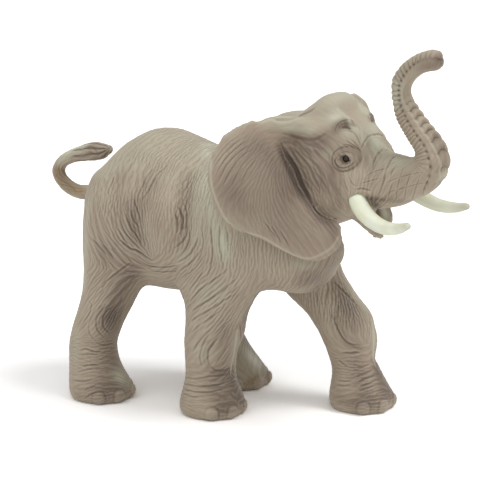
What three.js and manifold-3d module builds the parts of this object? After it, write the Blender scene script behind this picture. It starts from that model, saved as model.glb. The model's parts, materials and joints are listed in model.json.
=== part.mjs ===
import * as THREE from "three";
import { mergeVertices } from "three/addons/utils/BufferGeometryUtils.js";
import Module from "manifold-3d";

const wasm = await Module();
wasm.setup();

// Sizes in millimetres. X runs from rump to head, Y to the elephant's left, Z up from the floor.
const GLUE_GAP = 0.3;

const BODY_LENGTH = 104;
const BACK_HEIGHT = 100;
const BODY_WIDTH = 54;

const STANCE_WIDTH = 38;
const FOOT_LENGTH = 24;
const FOOT_WIDTH = 23.2;
const RELIEF_HEIGHT = 1.6;
const HIP_SPAN = 24;
const HIP_SEAM_MARGIN = 1.6;
const HIP_PEG_RADIUS = 3.5;
const HIP_PEG_LENGTH = 5;

const NAIL_WIDTH = 5.6;
const NAIL_HEIGHT = 6.4;
const NAIL_DEPTH = 3;

const HEAD_LENGTH = 75;
const HEAD_HEIGHT = 119;
const HEAD_WIDTH = 39;
const HEAD_TURN = THREE.MathUtils.degToRad(-12);
const HEAD_TILT = THREE.MathUtils.degToRad(2);
const NECK_PEG_RADIUS = 5;
const NECK_PEG_LENGTH = 7;

const EYE_RADIUS = 1.8;
const EYE_LID_THICKNESS = 0.45;
const EYE_OPENING_LENGTH = 3.1;
const EYE_OPENING_HEIGHT = 2.3;

const TRUNK_REACH = 28;
const TRUNK_RISE = 42;
const TRUNK_ROOT_RADIUS = 10;
const TRUNK_RIB_DEPTH = 0.35;
const TRUNK_RIB_COUNT = 20;
const TRUNK_PEG_RADIUS = 3;
const TRUNK_PEG_LENGTH = 5;
const NOSTRIL_RADIUS = 0.9;
const NOSTRIL_DEPTH = 3;

const TUSK_LENGTH = 30;
const TUSK_RADIUS = 3.1;
const TUSK_TIP_WIDTH = 33;
const TUSK_SHEATH_THICKNESS = 1.3;

const JAW_LENGTH = 18;
const JAW_WIDTH = 11;
const JAW_DEPTH = 4.6;
const MOUTH_LENGTH = 17;
const MOUTH_WIDTH = 12;
const MOUTH_HEIGHT = 8;
const JAW_LIP_THICKNESS = 1.3;

const EAR_SPAN = 47;
const EAR_HEIGHT = 58;
const EAR_THICKNESS = 2;
const EAR_RIM_THICKNESS = 1.3;
const EAR_CUP_DEPTH = 3;
const EAR_FOLD_HEIGHT = 10;
const EAR_FOLD_THICKNESS = 5;
const EAR_TAB_LENGTH = 7;
const EAR_TAB_THICKNESS = 2;
const EAR_TAB_DEPTH = 5.6;
const EAR_TAB_TILT = THREE.MathUtils.degToRad(-36);
const EAR_FLARE = THREE.MathUtils.degToRad(21);

const TAIL_LENGTH = 24;
const TAIL_RADIUS = 2.9;

// Half the width of the gap that divides the hips
const hipFace = HIP_SPAN / 2;

// Fineness of the mesh, as counts
const TORSO_STEPS = 18;
const TORSO_SIDES = 20;
const LEG_STEPS = 14;
const LEG_SIDES = 14;
const HEAD_STEPS = 17;
const HEAD_SIDES = 18;
const RINGS_PER_RIB = 3;
const TRUNK_SIDES = 12;
const EAR_STEPS = 18;
const EAR_RINGS = 5;
const SMALL_STEPS = 10;
const SMALL_SIDES = 10;
const NAIL_SIDES = 5;
const DOME_RINGS = 2;

// Torso from rump to chest: place along the body, top, bottom, half width
const torsoShares = [
  [0.024, 0.74, 0.63, 0.09],
  [0.046, 0.775, 0.59, 0.2],
  [0.092, 0.84, 0.52, 0.35],
  [0.16, 0.918, 0.45, 0.45],
  [0.24, 0.98, 0.42, 0.49],
  [0.32, 1.003, 0.41, 0.5],
  [0.42, 0.975, 0.41, 0.5],
  [0.51, 0.947, 0.413, 0.485],
  [0.6, 0.945, 0.42, 0.47],
  [0.7, 0.95, 0.438, 0.455],
  [0.8, 0.91, 0.46, 0.42],
  [0.87, 0.83, 0.455, 0.37],
  [0.94, 0.745, 0.475, 0.29],
  [0.985, 0.67, 0.55, 0.15],
];

// Flank relief on both sides: place along, height, reach along, reach up, rise
const flankReliefShares = [
  [0.2, 0.72, 0.035, 0.13, 0.4],
  [0.25, 0.74, 0.025, 0.12, -0.5],
  [0.31, 0.7, 0.04, 0.14, 0.6],
  [0.378, 0.78, 0.035, 0.1, -1.0],
  [0.392, 0.64, 0.035, 0.08, -0.9],
  [0.455, 0.71, 0.05, 0.12, 0.8],
  [0.53, 0.82, 0.035, 0.08, -0.6],
  [0.548, 0.69, 0.035, 0.11, -1.0],
  [0.61, 0.78, 0.04, 0.13, 0.6],
  [0.7, 0.62, 0.05, 0.1, -0.5],
];

// Head from inside the neck to the trunk root: place along, top, bottom, half width
const headShares = [
  [0.0, 0.74, 0.52, 0.46],
  [0.16, 0.855, 0.52, 0.5],
  [0.29, 0.926, 0.54, 0.505],
  [0.4, 0.93, 0.56, 0.5],
  [0.5, 0.968, 0.585, 0.5],
  [0.587, 0.99, 0.606, 0.487],
  [0.653, 0.96, 0.624, 0.456],
  [0.72, 0.912, 0.643, 0.41],
  [0.787, 0.893, 0.66, 0.358],
  [0.853, 0.843, 0.672, 0.302],
  [0.933, 0.835, 0.69, 0.245],
  [1.0, 0.825, 0.706, 0.2],
];
// Height of the widest level of a torso or head section, between its bottom and its top
const middleShare = 0.46;
const neckSeamShare = 0.373;
const neckPegHeightShare = 0.74;
const headPivotShare = 0.347;
const headTiltHeightShare = 0.8;

// Leg from the sole up: height, front half, rear half, half across
const frontLegShares = [
  [0.0, 0.47, 0.45, 0.46],
  [0.03, 0.52, 0.49, 0.51],
  [0.075, 0.48, 0.45, 0.47],
  [0.13, 0.4, 0.39, 0.4],
  [0.21, 0.39, 0.38, 0.38],
  [0.3, 0.47, 0.4, 0.41],
  [0.38, 0.5, 0.44, 0.42],
  [0.48, 0.62, 0.56, 0.47],
  [0.6, 0.68, 0.68, 0.52],
  [0.71, 0.66, 0.7, 0.51],
  [0.8, 0.52, 0.58, 0.44],
  [0.86, 0.26, 0.3, 0.25],
];
const hindLegShares = [
  [0.0, 0.47, 0.45, 0.46],
  [0.03, 0.52, 0.49, 0.51],
  [0.075, 0.48, 0.45, 0.47],
  [0.13, 0.4, 0.4, 0.4],
  [0.21, 0.36, 0.385, 0.37],
  [0.3, 0.38, 0.37, 0.38],
  [0.38, 0.44, 0.4, 0.42],
  [0.48, 0.62, 0.46, 0.48],
  [0.6, 0.8, 0.56, 0.54],
  [0.72, 0.82, 0.59, 0.53],
  [0.82, 0.64, 0.58, 0.43],
  [0.885, 0.3, 0.3, 0.22],
];

// Leg relief: place towards the front in foot lengths, height, reach forward, reach up, rise
const legReliefShares = {
  right_front_leg: [
    [0.35, 0.245, 0.4, 0.05, 0.5],
    [0.3, 0.165, 0.6, 0.03, -0.35],
    [-0.3, 0.4, 0.3, 0.06, 0.4],
    [0.1, 0.5, 0.4, 0.05, -0.5],
    [-0.6, 0.482, 0.35, 0.045, 3.0],
    [-0.45, 0.37, 0.2, 0.04, -0.6],
  ],
  left_front_leg: [
    [0.45, 0.33, 0.4, 0.06, 1.5],
    [0.3, 0.23, 0.6, 0.03, -0.35],
    [0.2, 0.48, 0.3, 0.05, -0.5],
    [0.6, 0.52, 0.3, 0.08, -1.5],
    [-0.5, 0.43, 0.3, 0.07, 2.0],
    [-0.45, 0.16, 0.3, 0.06, -1.0],
  ],
  right_hind_leg: [
    [0.4, 0.31, 0.3, 0.05, 0.5],
    [-0.1, 0.3, 0.3, 0.07, 0.4],
    [0.1, 0.47, 0.4, 0.05, -0.4],
  ],
  left_hind_leg: [
    [0.35, 0.33, 0.3, 0.06, -0.5],
    [-0.1, 0.3, 0.3, 0.07, 0.4],
    [0.1, 0.47, 0.4, 0.05, -0.4],
  ],
};

// Where each level of a leg stands: forward in body lengths, out in half stances
const legPathShares = {
  right_front_leg: [
    [0.03, 0.78], [0.03, 0.78], [0.03, 0.79], [0.03, 0.8], [0.028, 0.81], [0.032, 0.82],
    [0.05, 0.82], [0.08, 0.81], [0.125, 0.8], [0.15, 0.79], [0.15, 0.76], [0.15, 0.7],
  ],
  left_front_leg: [
    [0.452, 0.97], [0.452, 0.97], [0.444, 0.97], [0.428, 0.97], [0.404, 0.96], [0.376, 0.95],
    [0.322, 0.93], [0.26, 0.88], [0.2, 0.82], [0.175, 0.8], [0.165, 0.76], [0.16, 0.7],
  ],
  right_hind_leg: [
    [-0.408, 1.02], [-0.408, 1.02], [-0.42, 1.01], [-0.436, 1], [-0.438, 1], [-0.412, 0.98],
    [-0.38, 0.95], [-0.36, 0.89], [-0.345, 0.82], [-0.335, 0.8], [-0.325, 0.76], [-0.32, 0.7],
  ],
  left_hind_leg: [
    [-0.06, 1.06], [-0.064, 1.06], [-0.074, 1.05], [-0.1, 1.03], [-0.138, 1.02], [-0.154, 1],
    [-0.18, 0.97], [-0.23, 0.9], [-0.285, 0.82], [-0.315, 0.8], [-0.32, 0.76], [-0.32, 0.7],
  ],
};
const hipPegHeightShare = 0.62;
const hipSeamStartShare = 0.36;
const nailTurnShares = [-0.34, -0.12, 0.12, 0.34];
const nailLiftShare = 0.5;
const legTopShare = 0.14;

// Trunk spine from inside the head: forward, up, thickness, half width
const trunkShares = [
  [0.0, 0.0, 0.94, 1.0],
  [0.25, 0.0, 0.87, 0.92],
  [0.48, 0.01, 0.79, 0.8],
  [0.695, 0.075, 0.7, 0.7],
  [0.825, 0.18, 0.575, 0.6],
  [0.785, 0.29, 0.5, 0.54],
  [0.648, 0.39, 0.46, 0.5],
  [0.513, 0.49, 0.425, 0.46],
  [0.4, 0.59, 0.4, 0.42],
  [0.345, 0.68, 0.38, 0.39],
  [0.355, 0.76, 0.37, 0.38],
  [0.437, 0.845, 0.365, 0.38],
  [0.57, 0.92, 0.36, 0.38],
  [0.72, 0.965, 0.37, 0.39],
  [0.9, 0.99, 0.38, 0.4],
];
const trunkRootShare = 0.827;
const trunkRootHeightShare = 0.77;
const trunkSeamShare = 0.13;
const trunkUndersideShare = 0.86;
const trunkEndShare = 0.08;
// Rings fade out below this level of a section, where the underside is flat
const trunkRingShare = -0.6;
const nostrilSpreadShare = 1.6;

// Face relief on both sides, the brows, temples and cheeks, in the same columns as the flanks
const faceReliefShares = [
  [0.7, 0.9, 0.05, 0.03, 0.45],
  [0.67, 0.845, 0.045, 0.05, -0.75],
  [0.79, 0.78, 0.05, 0.035, 0.4],
];

// Tusk from its socket to its tip: along, out, up in tusk lengths, thickness, part of the lift
const tuskShares = [
  [-0.08, -0.09, 0.05, 0.75, 0.3],
  [0.08, 0.023, -0.097, 1.0, 0.9],
  [0.135, 0.047, -0.183, 1.02, 0.87],
  [0.25, 0.08, -0.277, 0.96, 0.75],
  [0.42, 0.117, -0.343, 0.87, 0.58],
  [0.6, 0.15, -0.367, 0.77, 0.4],
  [0.777, 0.187, -0.34, 0.64, 0.22],
  [0.93, 0.213, -0.28, 0.4, 0.07],
];
const tuskSheathShare = 0.3;
// How far each tusk is raised near its root, in tusk lengths
const tuskLiftShares = { left: 0.19, right: 0 };
const tuskRootShare = 0.787;
const tuskRootHeightShare = 0.752;

// Lower jaw from its root to the tip of the lip: along, up, half width, thickness
const jawShares = [
  [0.0, 0.0, 0.46, 0.9],
  [0.25, -0.04, 0.5, 1.0],
  [0.5, -0.14, 0.5, 0.9],
  [0.7, -0.28, 0.44, 0.75],
  [0.86, -0.42, 0.34, 0.6],
  [0.94, -0.5, 0.2, 0.4],
];
const jawRootShare = 0.613;
const jawRootHeightShare = 0.672;
const jawHollowShare = 0.55;
const jawHollowSizeShare = 0.72;
const mouthShares = [0.853, 0.0, 0.664];

// Ear root line and free edge from the top to the lobe: forward and out in spans, up in heights
const earRootShares = [
  [0.08, 0.25, 0.7],
  [0.256, 0.355, 0.626],
  [0.375, 0.375, 0.494],
  [0.426, 0.375, 0.434],
  [0.531, 0.36, 0.322],
  [0.655, 0.33, 0.285],
];
const earEdgeShares = [
  [0.11, 0.287, 0.746],
  [0.108, 0.511, 0.863],
  [0.083, 0.723, 0.848],
  [0.047, 0.872, 0.795],
  [0.024, 0.985, 0.66],
  [0.022, 1.0, 0.53],
  [0.031, 0.926, 0.336],
  [0.09, 0.77, 0.235],
  [0.2, 0.62, 0.15],
  [0.345, 0.49, 0.06],
  [0.49, 0.415, 0.02],
  [0.63, 0.372, 0.07],
  [0.725, 0.355, 0.16],
  [0.705, 0.34, 0.27],
];
const earFootShare = 0.521;
const earTabShares = [0.34, 0.345, 0.525];
// How far each ear sits back and up from the table, as shares of its span
const earSlideShares = { left: [-0.095, 0.0], right: [0, 0] };
// Rolled fold over the ear's root, from the temple to the top of the ear
const earFoldShares = [
  [0.52, 0.22, 0.77, 0.45],
  [0.38, 0.295, 0.78, 0.85],
  [0.22, 0.345, 0.785, 1.0],
  [0.14, 0.43, 0.795, 0.9],
  [0.11, 0.54, 0.8, 0.6],
];

// Eye place: along, out and up on the head
const eyeShares = [0.764, 0.267, 0.832];

// Tail centre line from inside the rump: back, across, up, then thickness
const tailShares = [
  [-0.25, 0.0, 0.02, 1.0],
  [0.0, 0.0, 0.0, 1.0],
  [0.24, 0.0, -0.03, 0.95],
  [0.5, 0.01, 0.06, 0.92],
  [0.67, 0.02, 0.25, 0.84],
  [0.58, 0.04, 0.43, 0.82],
  [0.34, 0.06, 0.55, 0.98],
  [0.07, 0.08, 0.62, 1.24],
  [-0.14, 0.1, 0.65, 1.15],
  [-0.28, 0.11, 0.69, 0.6],
];
const tailRootHeightShare = 0.73;
const tailEndShare = 0.4;

const rumpShare = -0.56;
const neckShare = 0.286;
const rumpX = rumpShare * BODY_LENGTH;

// Even steps through a table of shares, with one smooth curve for each column
function smoothTable(table, steps) {
  const columns = table[0].length;
  const places = table.map((_, index) => index);
  const curve = new THREE.CubicInterpolant(places, table.flat(), columns, new Array(columns));
  const rows = [];
  for (let step = 0; step <= steps; step += 1) {
    rows.push([...curve.evaluate((step / steps) * (table.length - 1))]);
  }
  return rows;
}

// One closed ring of points round a station
function ringPoints(station, sides) {
  const points = [];
  for (let index = 0; index < sides; index += 1) {
    const turn = (index / sides) * Math.PI * 2;
    const roundness = 2 / (station.power ?? 2);
    const sine = Math.sin(turn);
    const cosine = Math.cos(turn);
    const swell = station.swell ? station.swell(turn) : 0;
    const reach = sine > 0 ? station.rise : station.drop;
    const across = Math.sign(cosine) * Math.abs(cosine) ** roundness * (station.half + swell);
    const upward = Math.sign(sine) * Math.abs(sine) ** roundness * (reach + swell);
    const point = station.at.clone();
    point.addScaledVector(station.side, across);
    point.addScaledVector(station.up, upward);
    if (station.relief) {
      const outward = point.clone().sub(station.at).normalize();
      point.addScaledVector(outward, station.relief(point));
    }
    points.push(point);
  }
  return points;
}

// Stations that round off an end, from the end station outward along its heading
function domeStations(station, heading, length) {
  const stations = [];
  for (let index = 1; index <= DOME_RINGS; index += 1) {
    const turn = (index / (DOME_RINGS + 1)) * (Math.PI / 2);
    const shrink = Math.cos(turn);
    stations.push({
      ...station,
      at: station.at.clone().addScaledVector(heading, length * Math.sin(turn)),
      half: station.half * shrink,
      rise: station.rise * shrink,
      drop: station.drop * shrink,
    });
  }
  return stations;
}

// Closed mesh over a row of rings with a point at each end
function ringMesh(rings, startPoint, endPoint) {
  const sides = rings[0].length;
  const points = [...rings.flat(), startPoint, endPoint];
  const start = points.length - 2;
  const end = points.length - 1;
  const faces = [];
  for (let row = 0; row < rings.length - 1; row += 1) {
    for (let index = 0; index < sides; index += 1) {
      const next = (index + 1) % sides;
      const a = row * sides + index;
      const b = row * sides + next;
      faces.push(a, b, a + sides, b, b + sides, a + sides);
    }
  }
  const last = (rings.length - 1) * sides;
  for (let index = 0; index < sides; index += 1) {
    const next = (index + 1) % sides;
    faces.push(start, next, index);
    faces.push(end, last + index, last + next);
  }
  return meshOf(points, faces);
}

function meshOf(points, faces) {
  const geometry = new THREE.BufferGeometry();
  const places = points.flatMap((point) => [point.x, point.y, point.z]);
  geometry.setAttribute("position", new THREE.Float32BufferAttribute(places, 3));
  geometry.setIndex(faces);
  return geometry;
}

// Loft through stations, with each end flat or rounded by a dome of the given length
function loft(stations, sides, startDome, endDome) {
  const first = stations[0];
  const last = stations[stations.length - 1];
  const backward = first.at.clone().sub(stations[1].at).normalize();
  const forward = last.at.clone().sub(stations[stations.length - 2].at).normalize();
  const before = startDome > 0 ? domeStations(first, backward, startDome).reverse() : [];
  const after = endDome > 0 ? domeStations(last, forward, endDome) : [];
  const rings = [...before, ...stations, ...after].map((station) => ringPoints(station, sides));
  const startPoint = first.at.clone().addScaledVector(backward, startDome);
  const endPoint = last.at.clone().addScaledVector(forward, endDome);
  return ringMesh(rings, startPoint, endPoint);
}

// Manifold solid of a closed geometry, turned right side out
function solid(geometry, matrix) {
  const bare = geometry.index ? geometry.toNonIndexed() : geometry.clone();
  bare.deleteAttribute("normal");
  bare.deleteAttribute("uv");
  if (matrix) bare.applyMatrix4(matrix);
  const merged = mergeVertices(bare);
  const faces = Uint32Array.from(merged.index.array);
  const mesh = { numProp: 3, vertProperties: merged.attributes.position.array, triVerts: faces };
  const made = new wasm.Manifold(new wasm.Mesh(mesh));
  if (made.volume() > 0) return made;
  for (let index = 0; index < faces.length; index += 3) {
    [faces[index], faces[index + 1]] = [faces[index + 1], faces[index]];
  }
  return new wasm.Manifold(new wasm.Mesh(mesh));
}

// The largest body of a solid, without stray slivers
function largest(body) {
  const parts = body.decompose();
  return parts.reduce((best, part) => (part.volume() > best.volume() ? part : best));
}

const AXIS_X = new THREE.Vector3(1, 0, 0);
const AXIS_Y = new THREE.Vector3(0, 1, 0);
const AXIS_Z = new THREE.Vector3(0, 0, 1);

// Round peg from a point along a heading
function peg(start, heading, radius, length, grow = 0) {
  const geometry = new THREE.CylinderGeometry(radius + grow, radius + grow, length + grow * 2, SMALL_SIDES);
  const turn = new THREE.Quaternion().setFromUnitVectors(AXIS_Y, heading);
  const middle = start.clone().addScaledVector(heading, length / 2);
  return solid(geometry, new THREE.Matrix4().compose(middle, turn, new THREE.Vector3(1, 1, 1)));
}

// Muscle relief: soft swellings and hollows that follow a place along the body and a height

function reliefSum(table, place, level) {
  return table.reduce((sum, [middle, height, reach, spread, rise]) => {
    const away = ((place - middle) / reach) ** 2 + ((level - height) / spread) ** 2;
    return sum + rise * RELIEF_HEIGHT * Math.exp(-away);
  }, 0);
}

function flankRelief(point) {
  return reliefSum(flankReliefShares, point.x / BODY_LENGTH - rumpShare, point.z / BACK_HEIGHT);
}

function legRelief(name, point, middleX) {
  const front = (point.x - middleX) / FOOT_LENGTH;
  return reliefSum(legReliefShares[name], front, point.z / BACK_HEIGHT);
}

function faceRelief(point) {
  return reliefSum(faceReliefShares, point.x / HEAD_LENGTH, point.z / HEAD_HEIGHT);
}

// Torso

function torsoSolid(grow) {
  const stations = smoothTable(torsoShares, TORSO_STEPS).map(([along, top, bottom, half]) => {
    const middle = (bottom + (top - bottom) * middleShare) * BACK_HEIGHT;
    return {
      at: new THREE.Vector3(rumpX + along * BODY_LENGTH, 0, middle),
      side: AXIS_Y,
      up: AXIS_Z,
      half: half * BODY_WIDTH + grow,
      rise: top * BACK_HEIGHT - middle + grow,
      drop: middle - bottom * BACK_HEIGHT + grow,
      power: 2.2,
      relief: flankRelief,
    };
  });
  return solid(loft(stations, TORSO_SIDES, TAIL_RADIUS + grow, TAIL_RADIUS + grow));
}

// Legs

function legStations(name, shares, grow) {
  const hand = name.startsWith("left") ? 1 : -1;
  const rows = shares.map((row, index) => [...row, ...legPathShares[name][index]]);
  return smoothTable(rows, LEG_STEPS).map(([height, front, rear, half, forward, splay]) => ({
    at: new THREE.Vector3(forward * BODY_LENGTH, (hand * splay * STANCE_WIDTH) / 2, height * BACK_HEIGHT),
    side: AXIS_Y,
    up: AXIS_X,
    half: half * FOOT_WIDTH + grow,
    rise: front * FOOT_LENGTH + grow,
    drop: rear * FOOT_LENGTH + grow,
    power: 2.1,
    relief: (point) => flankRelief(point) + legRelief(name, point, forward * BODY_LENGTH),
  }));
}

// Arched block outside the hip face, with the outline of the upper leg grown by a margin
function hipBlock(name, shares, margin) {
  const hand = name.startsWith("left") ? 1 : -1;
  const stations = legStations(name, shares, margin);
  const upper = stations.filter((station) => station.at.z > hipSeamStartShare * BACK_HEIGHT);
  const crown = upper[upper.length - 1];
  const front = upper.map((station) => new THREE.Vector2(station.at.x + station.rise, station.at.z));
  const rear = upper.map((station) => new THREE.Vector2(station.at.x - station.drop, station.at.z));
  const top = new THREE.Vector2(crown.at.x, crown.at.z + FOOT_LENGTH * legTopShare + margin);
  const outline = new THREE.Shape([...front, top, ...rear.reverse()]);
  const depth = BODY_WIDTH;
  const geometry = new THREE.ExtrudeGeometry(outline, { depth, bevelEnabled: false });
  geometry.rotateX(Math.PI / 2);
  const inner = hipFace + HIP_SEAM_MARGIN - margin;
  geometry.translate(0, hand > 0 ? inner + depth : -inner, 0);
  return solid(geometry);
}

function hipPeg(name, shares, grow) {
  const hand = name.startsWith("left") ? 1 : -1;
  const level = shares.findIndex((row) => row[0] >= hipPegHeightShare);
  const start = new THREE.Vector3(
    legPathShares[name][level][0] * BODY_LENGTH,
    hand * (hipFace + GLUE_GAP * 2),
    hipPegHeightShare * BACK_HEIGHT,
  );
  const heading = new THREE.Vector3(0, -hand, 0);
  return peg(start, heading, HIP_PEG_RADIUS, HIP_PEG_LENGTH, grow);
}

function toenails(name) {
  const hand = name.startsWith("left") ? 1 : -1;
  const [forward, splay] = legPathShares[name][0];
  const middle = new THREE.Vector3(forward * BODY_LENGTH, (hand * splay * STANCE_WIDTH) / 2, 0);
  return nailTurnShares.map((share) => {
    const turn = share * Math.PI;
    const geometry = new THREE.SphereGeometry(1, NAIL_SIDES, NAIL_SIDES);
    geometry.scale(NAIL_DEPTH / 2, NAIL_WIDTH / 2, NAIL_HEIGHT / 2);
    geometry.rotateZ(turn);
    geometry.translate(
      middle.x + (Math.cos(turn) * FOOT_LENGTH) / 2,
      middle.y + (Math.sin(turn) * FOOT_WIDTH) / 2,
      NAIL_HEIGHT * nailLiftShare,
    );
    return solid(geometry);
  });
}

function legSolid(name, shares, body, grownBody) {
  const shaft = solid(loft(legStations(name, shares, 0), LEG_SIDES, 0, FOOT_LENGTH * legTopShare));
  const block = hipBlock(name, shares, HIP_SEAM_MARGIN);
  const inside = shaft.add(body).intersect(block);
  const nails = toenails(name);
  let leg = shaft.subtract(grownBody).add(inside).add(hipPeg(name, shares, 0));
  for (const nail of nails) leg = leg.add(nail);
  return largest(leg);
}

// Head frame: forward along the face, turned and tilted about the neck

const headPivot = new THREE.Vector3(neckShare * BODY_LENGTH, 0, headTiltHeightShare * HEAD_HEIGHT);
const headTurn = new THREE.Matrix4()
  .makeRotationZ(HEAD_TURN)
  .multiply(new THREE.Matrix4().makeRotationX(HEAD_TILT));
const headMatrix = new THREE.Matrix4()
  .makeTranslation(headPivot.x, headPivot.y, headPivot.z)
  .multiply(headTurn)
  .multiply(new THREE.Matrix4().makeTranslation(-headPivotShare * HEAD_LENGTH, 0, -headPivot.z));

function headPoint(along, out, height) {
  return new THREE.Vector3(along * HEAD_LENGTH, out * HEAD_WIDTH, height * HEAD_HEIGHT);
}

function inHead(point) {
  return point.clone().applyMatrix4(headMatrix);
}

function headHeading(vector) {
  return vector.clone().transformDirection(headMatrix);
}

function headLoft(grow) {
  const stations = smoothTable(headShares, HEAD_STEPS).map(([along, top, bottom, half]) => {
    const middle = (bottom + (top - bottom) * middleShare) * HEAD_HEIGHT;
    return {
      at: new THREE.Vector3(along * HEAD_LENGTH, 0, middle),
      side: AXIS_Y,
      up: AXIS_Z,
      half: half * HEAD_WIDTH + grow,
      rise: top * HEAD_HEIGHT - middle + grow,
      drop: middle - bottom * HEAD_HEIGHT + grow,
      power: 2.25,
      relief: faceRelief,
    };
  });
  return solid(loft(stations, HEAD_SIDES, grow, EYE_RADIUS + grow), headMatrix);
}

// Half space in front of a plane in the head frame, as a large block
function frontOf(point, heading) {
  const size = HEAD_LENGTH * 2;
  const geometry = new THREE.BoxGeometry(size, size, size);
  const turn = new THREE.Quaternion().setFromUnitVectors(AXIS_X, heading);
  const middle = point.clone().addScaledVector(heading, size / 2);
  const matrix = new THREE.Matrix4().compose(middle, turn, new THREE.Vector3(1, 1, 1));
  return solid(geometry, headMatrix.clone().multiply(matrix));
}

// Trunk: a tapered tube along an S, ringed above and on the sides, flat below

const trunkRoot = headPoint(trunkRootShare, 0, trunkRootHeightShare);

function trunkStations(grow) {
  const steps = TRUNK_RIB_COUNT * RINGS_PER_RIB;
  const rows = smoothTable(trunkShares, steps);
  const places = rows.map(([forward, up]) => {
    const point = new THREE.Vector3(forward * TRUNK_REACH, 0, up * TRUNK_RISE);
    return point.add(trunkRoot);
  });
  return rows.map(([, , thick, half], index) => {
    const before = places[Math.max(index - 1, 0)];
    const after = places[Math.min(index + 1, steps)];
    const heading = after.clone().sub(before).normalize();
    const rib = index % RINGS_PER_RIB === 0 ? -TRUNK_RIB_DEPTH : 0;
    return {
      at: places[index],
      heading,
      side: AXIS_Y,
      up: new THREE.Vector3(-heading.z, 0, heading.x),
      half: half * TRUNK_ROOT_RADIUS + grow,
      rise: thick * TRUNK_ROOT_RADIUS + grow,
      drop: thick * TRUNK_ROOT_RADIUS * trunkUndersideShare + grow,
      power: 2.3,
      swell: (turn) => (Math.sin(turn) > trunkRingShare ? rib : 0),
    };
  });
}

function trunkLoft() {
  return solid(loft(trunkStations(0), TRUNK_SIDES, 0, TRUNK_ROOT_RADIUS * trunkEndShare), headMatrix);
}

function trunkSeam() {
  const stations = trunkStations(0);
  return stations[Math.round(trunkSeamShare * stations.length)];
}

function trunkPeg(grow) {
  const seam = trunkSeam();
  const start = inHead(seam.at.clone().addScaledVector(seam.heading, GLUE_GAP * 2));
  const heading = headHeading(seam.heading.clone().negate());
  return peg(start, heading, TRUNK_PEG_RADIUS, TRUNK_PEG_LENGTH, grow);
}

function nostrils() {
  const stations = trunkStations(0);
  const tip = stations[stations.length - 1];
  return [-1, 1].map((hand) => {
    const start = tip.at.clone().addScaledVector(tip.side, hand * NOSTRIL_RADIUS * nostrilSpreadShare);
    start.addScaledVector(tip.heading, NOSTRIL_DEPTH);
    const heading = headHeading(tip.heading.clone().negate());
    return peg(inHead(start), heading, NOSTRIL_RADIUS, NOSTRIL_DEPTH * 2);
  });
}

function trunkSolid() {
  const seam = trunkSeam();
  const start = seam.at.clone().addScaledVector(seam.heading, GLUE_GAP);
  let trunk = trunkLoft().intersect(frontOf(start, seam.heading));
  trunk = trunk.add(trunkPeg(0));
  for (const nostril of nostrils()) trunk = trunk.subtract(nostril);
  return largest(trunk);
}

// Tusks

function tuskStations(hand, grow) {
  const root = headPoint(tuskRootShare, 0, tuskRootHeightShare);
  const outward = TUSK_TIP_WIDTH / 2 - tuskShares[tuskShares.length - 1][1] * TUSK_LENGTH;
  const rows = smoothTable(tuskShares, SMALL_STEPS);
  const lift = hand > 0 ? tuskLiftShares.left : tuskLiftShares.right;
  const places = rows.map(([along, out, up, , part]) => {
    const point = new THREE.Vector3(along, 0, up + part * lift).multiplyScalar(TUSK_LENGTH);
    point.y = hand * (outward + out * TUSK_LENGTH);
    return point.add(root);
  });
  const stations = rows.map(([, , , thick], index) => {
    const before = places[Math.max(index - 1, 0)];
    const after = places[Math.min(index + 1, SMALL_STEPS)];
    const heading = after.clone().sub(before).normalize();
    const side = new THREE.Vector3().crossVectors(AXIS_Z, heading).normalize();
    const radius = thick * TUSK_RADIUS + grow;
    const up = new THREE.Vector3().crossVectors(heading, side);
    return { at: places[index], side, up, half: radius, rise: radius, drop: radius };
  });
  return stations;
}

function tuskSolid(hand, grow) {
  const stations = tuskStations(hand, grow);
  const tip = stations[stations.length - 1].half;
  return solid(loft(stations, SMALL_SIDES, grow, tip), headMatrix);
}

// Swelling of the lip round the root of a tusk
function tuskSheath(hand) {
  const stations = tuskStations(hand, TUSK_SHEATH_THICKNESS);
  const root = stations.slice(0, Math.round(stations.length * tuskSheathShare));
  return solid(loft(root, SMALL_SIDES, TUSK_RADIUS, TUSK_SHEATH_THICKNESS / 2), headMatrix);
}

// Lower jaw with a hollowed lip

function jawLoft(grow, lift, sizeShare) {
  const root = headPoint(jawRootShare, 0, jawRootHeightShare);
  const stations = smoothTable(jawShares, SMALL_STEPS).map(([along, up, half, thick]) => ({
    at: root.clone().add(new THREE.Vector3(along * JAW_LENGTH, 0, up * JAW_LENGTH + lift)),
    side: AXIS_Y,
    up: AXIS_Z,
    half: half * JAW_WIDTH * sizeShare + grow,
    rise: thick * JAW_DEPTH * 0.5 * sizeShare + grow,
    drop: thick * JAW_DEPTH * 0.5 * sizeShare + grow,
    power: 2.4,
  }));
  return solid(loft(stations, SMALL_SIDES, grow, JAW_LIP_THICKNESS), headMatrix);
}

function mouthHollow() {
  const geometry = new THREE.SphereGeometry(1, SMALL_SIDES, SMALL_SIDES);
  geometry.scale(MOUTH_LENGTH / 2, MOUTH_WIDTH / 2, MOUTH_HEIGHT / 2);
  const middle = headPoint(...mouthShares);
  geometry.translate(middle.x, middle.y, middle.z);
  return solid(geometry, headMatrix);
}

// Ears: curved shells between a root line and a free edge

function earPoint(hand, forward, out, up) {
  const [slide, lift] = hand > 0 ? earSlideShares.left : earSlideShares.right;
  const point = new THREE.Vector3(forward + slide, hand * out, lift).multiplyScalar(EAR_SPAN);
  point.x += headPivotShare * HEAD_LENGTH;
  point.z += earFootShare * HEAD_HEIGHT + up * EAR_HEIGHT;
  return point;
}

function earLine(table, hand, steps) {
  return smoothTable(table, steps).map(([forward, out, up]) => earPoint(hand, forward, out, up));
}

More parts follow.
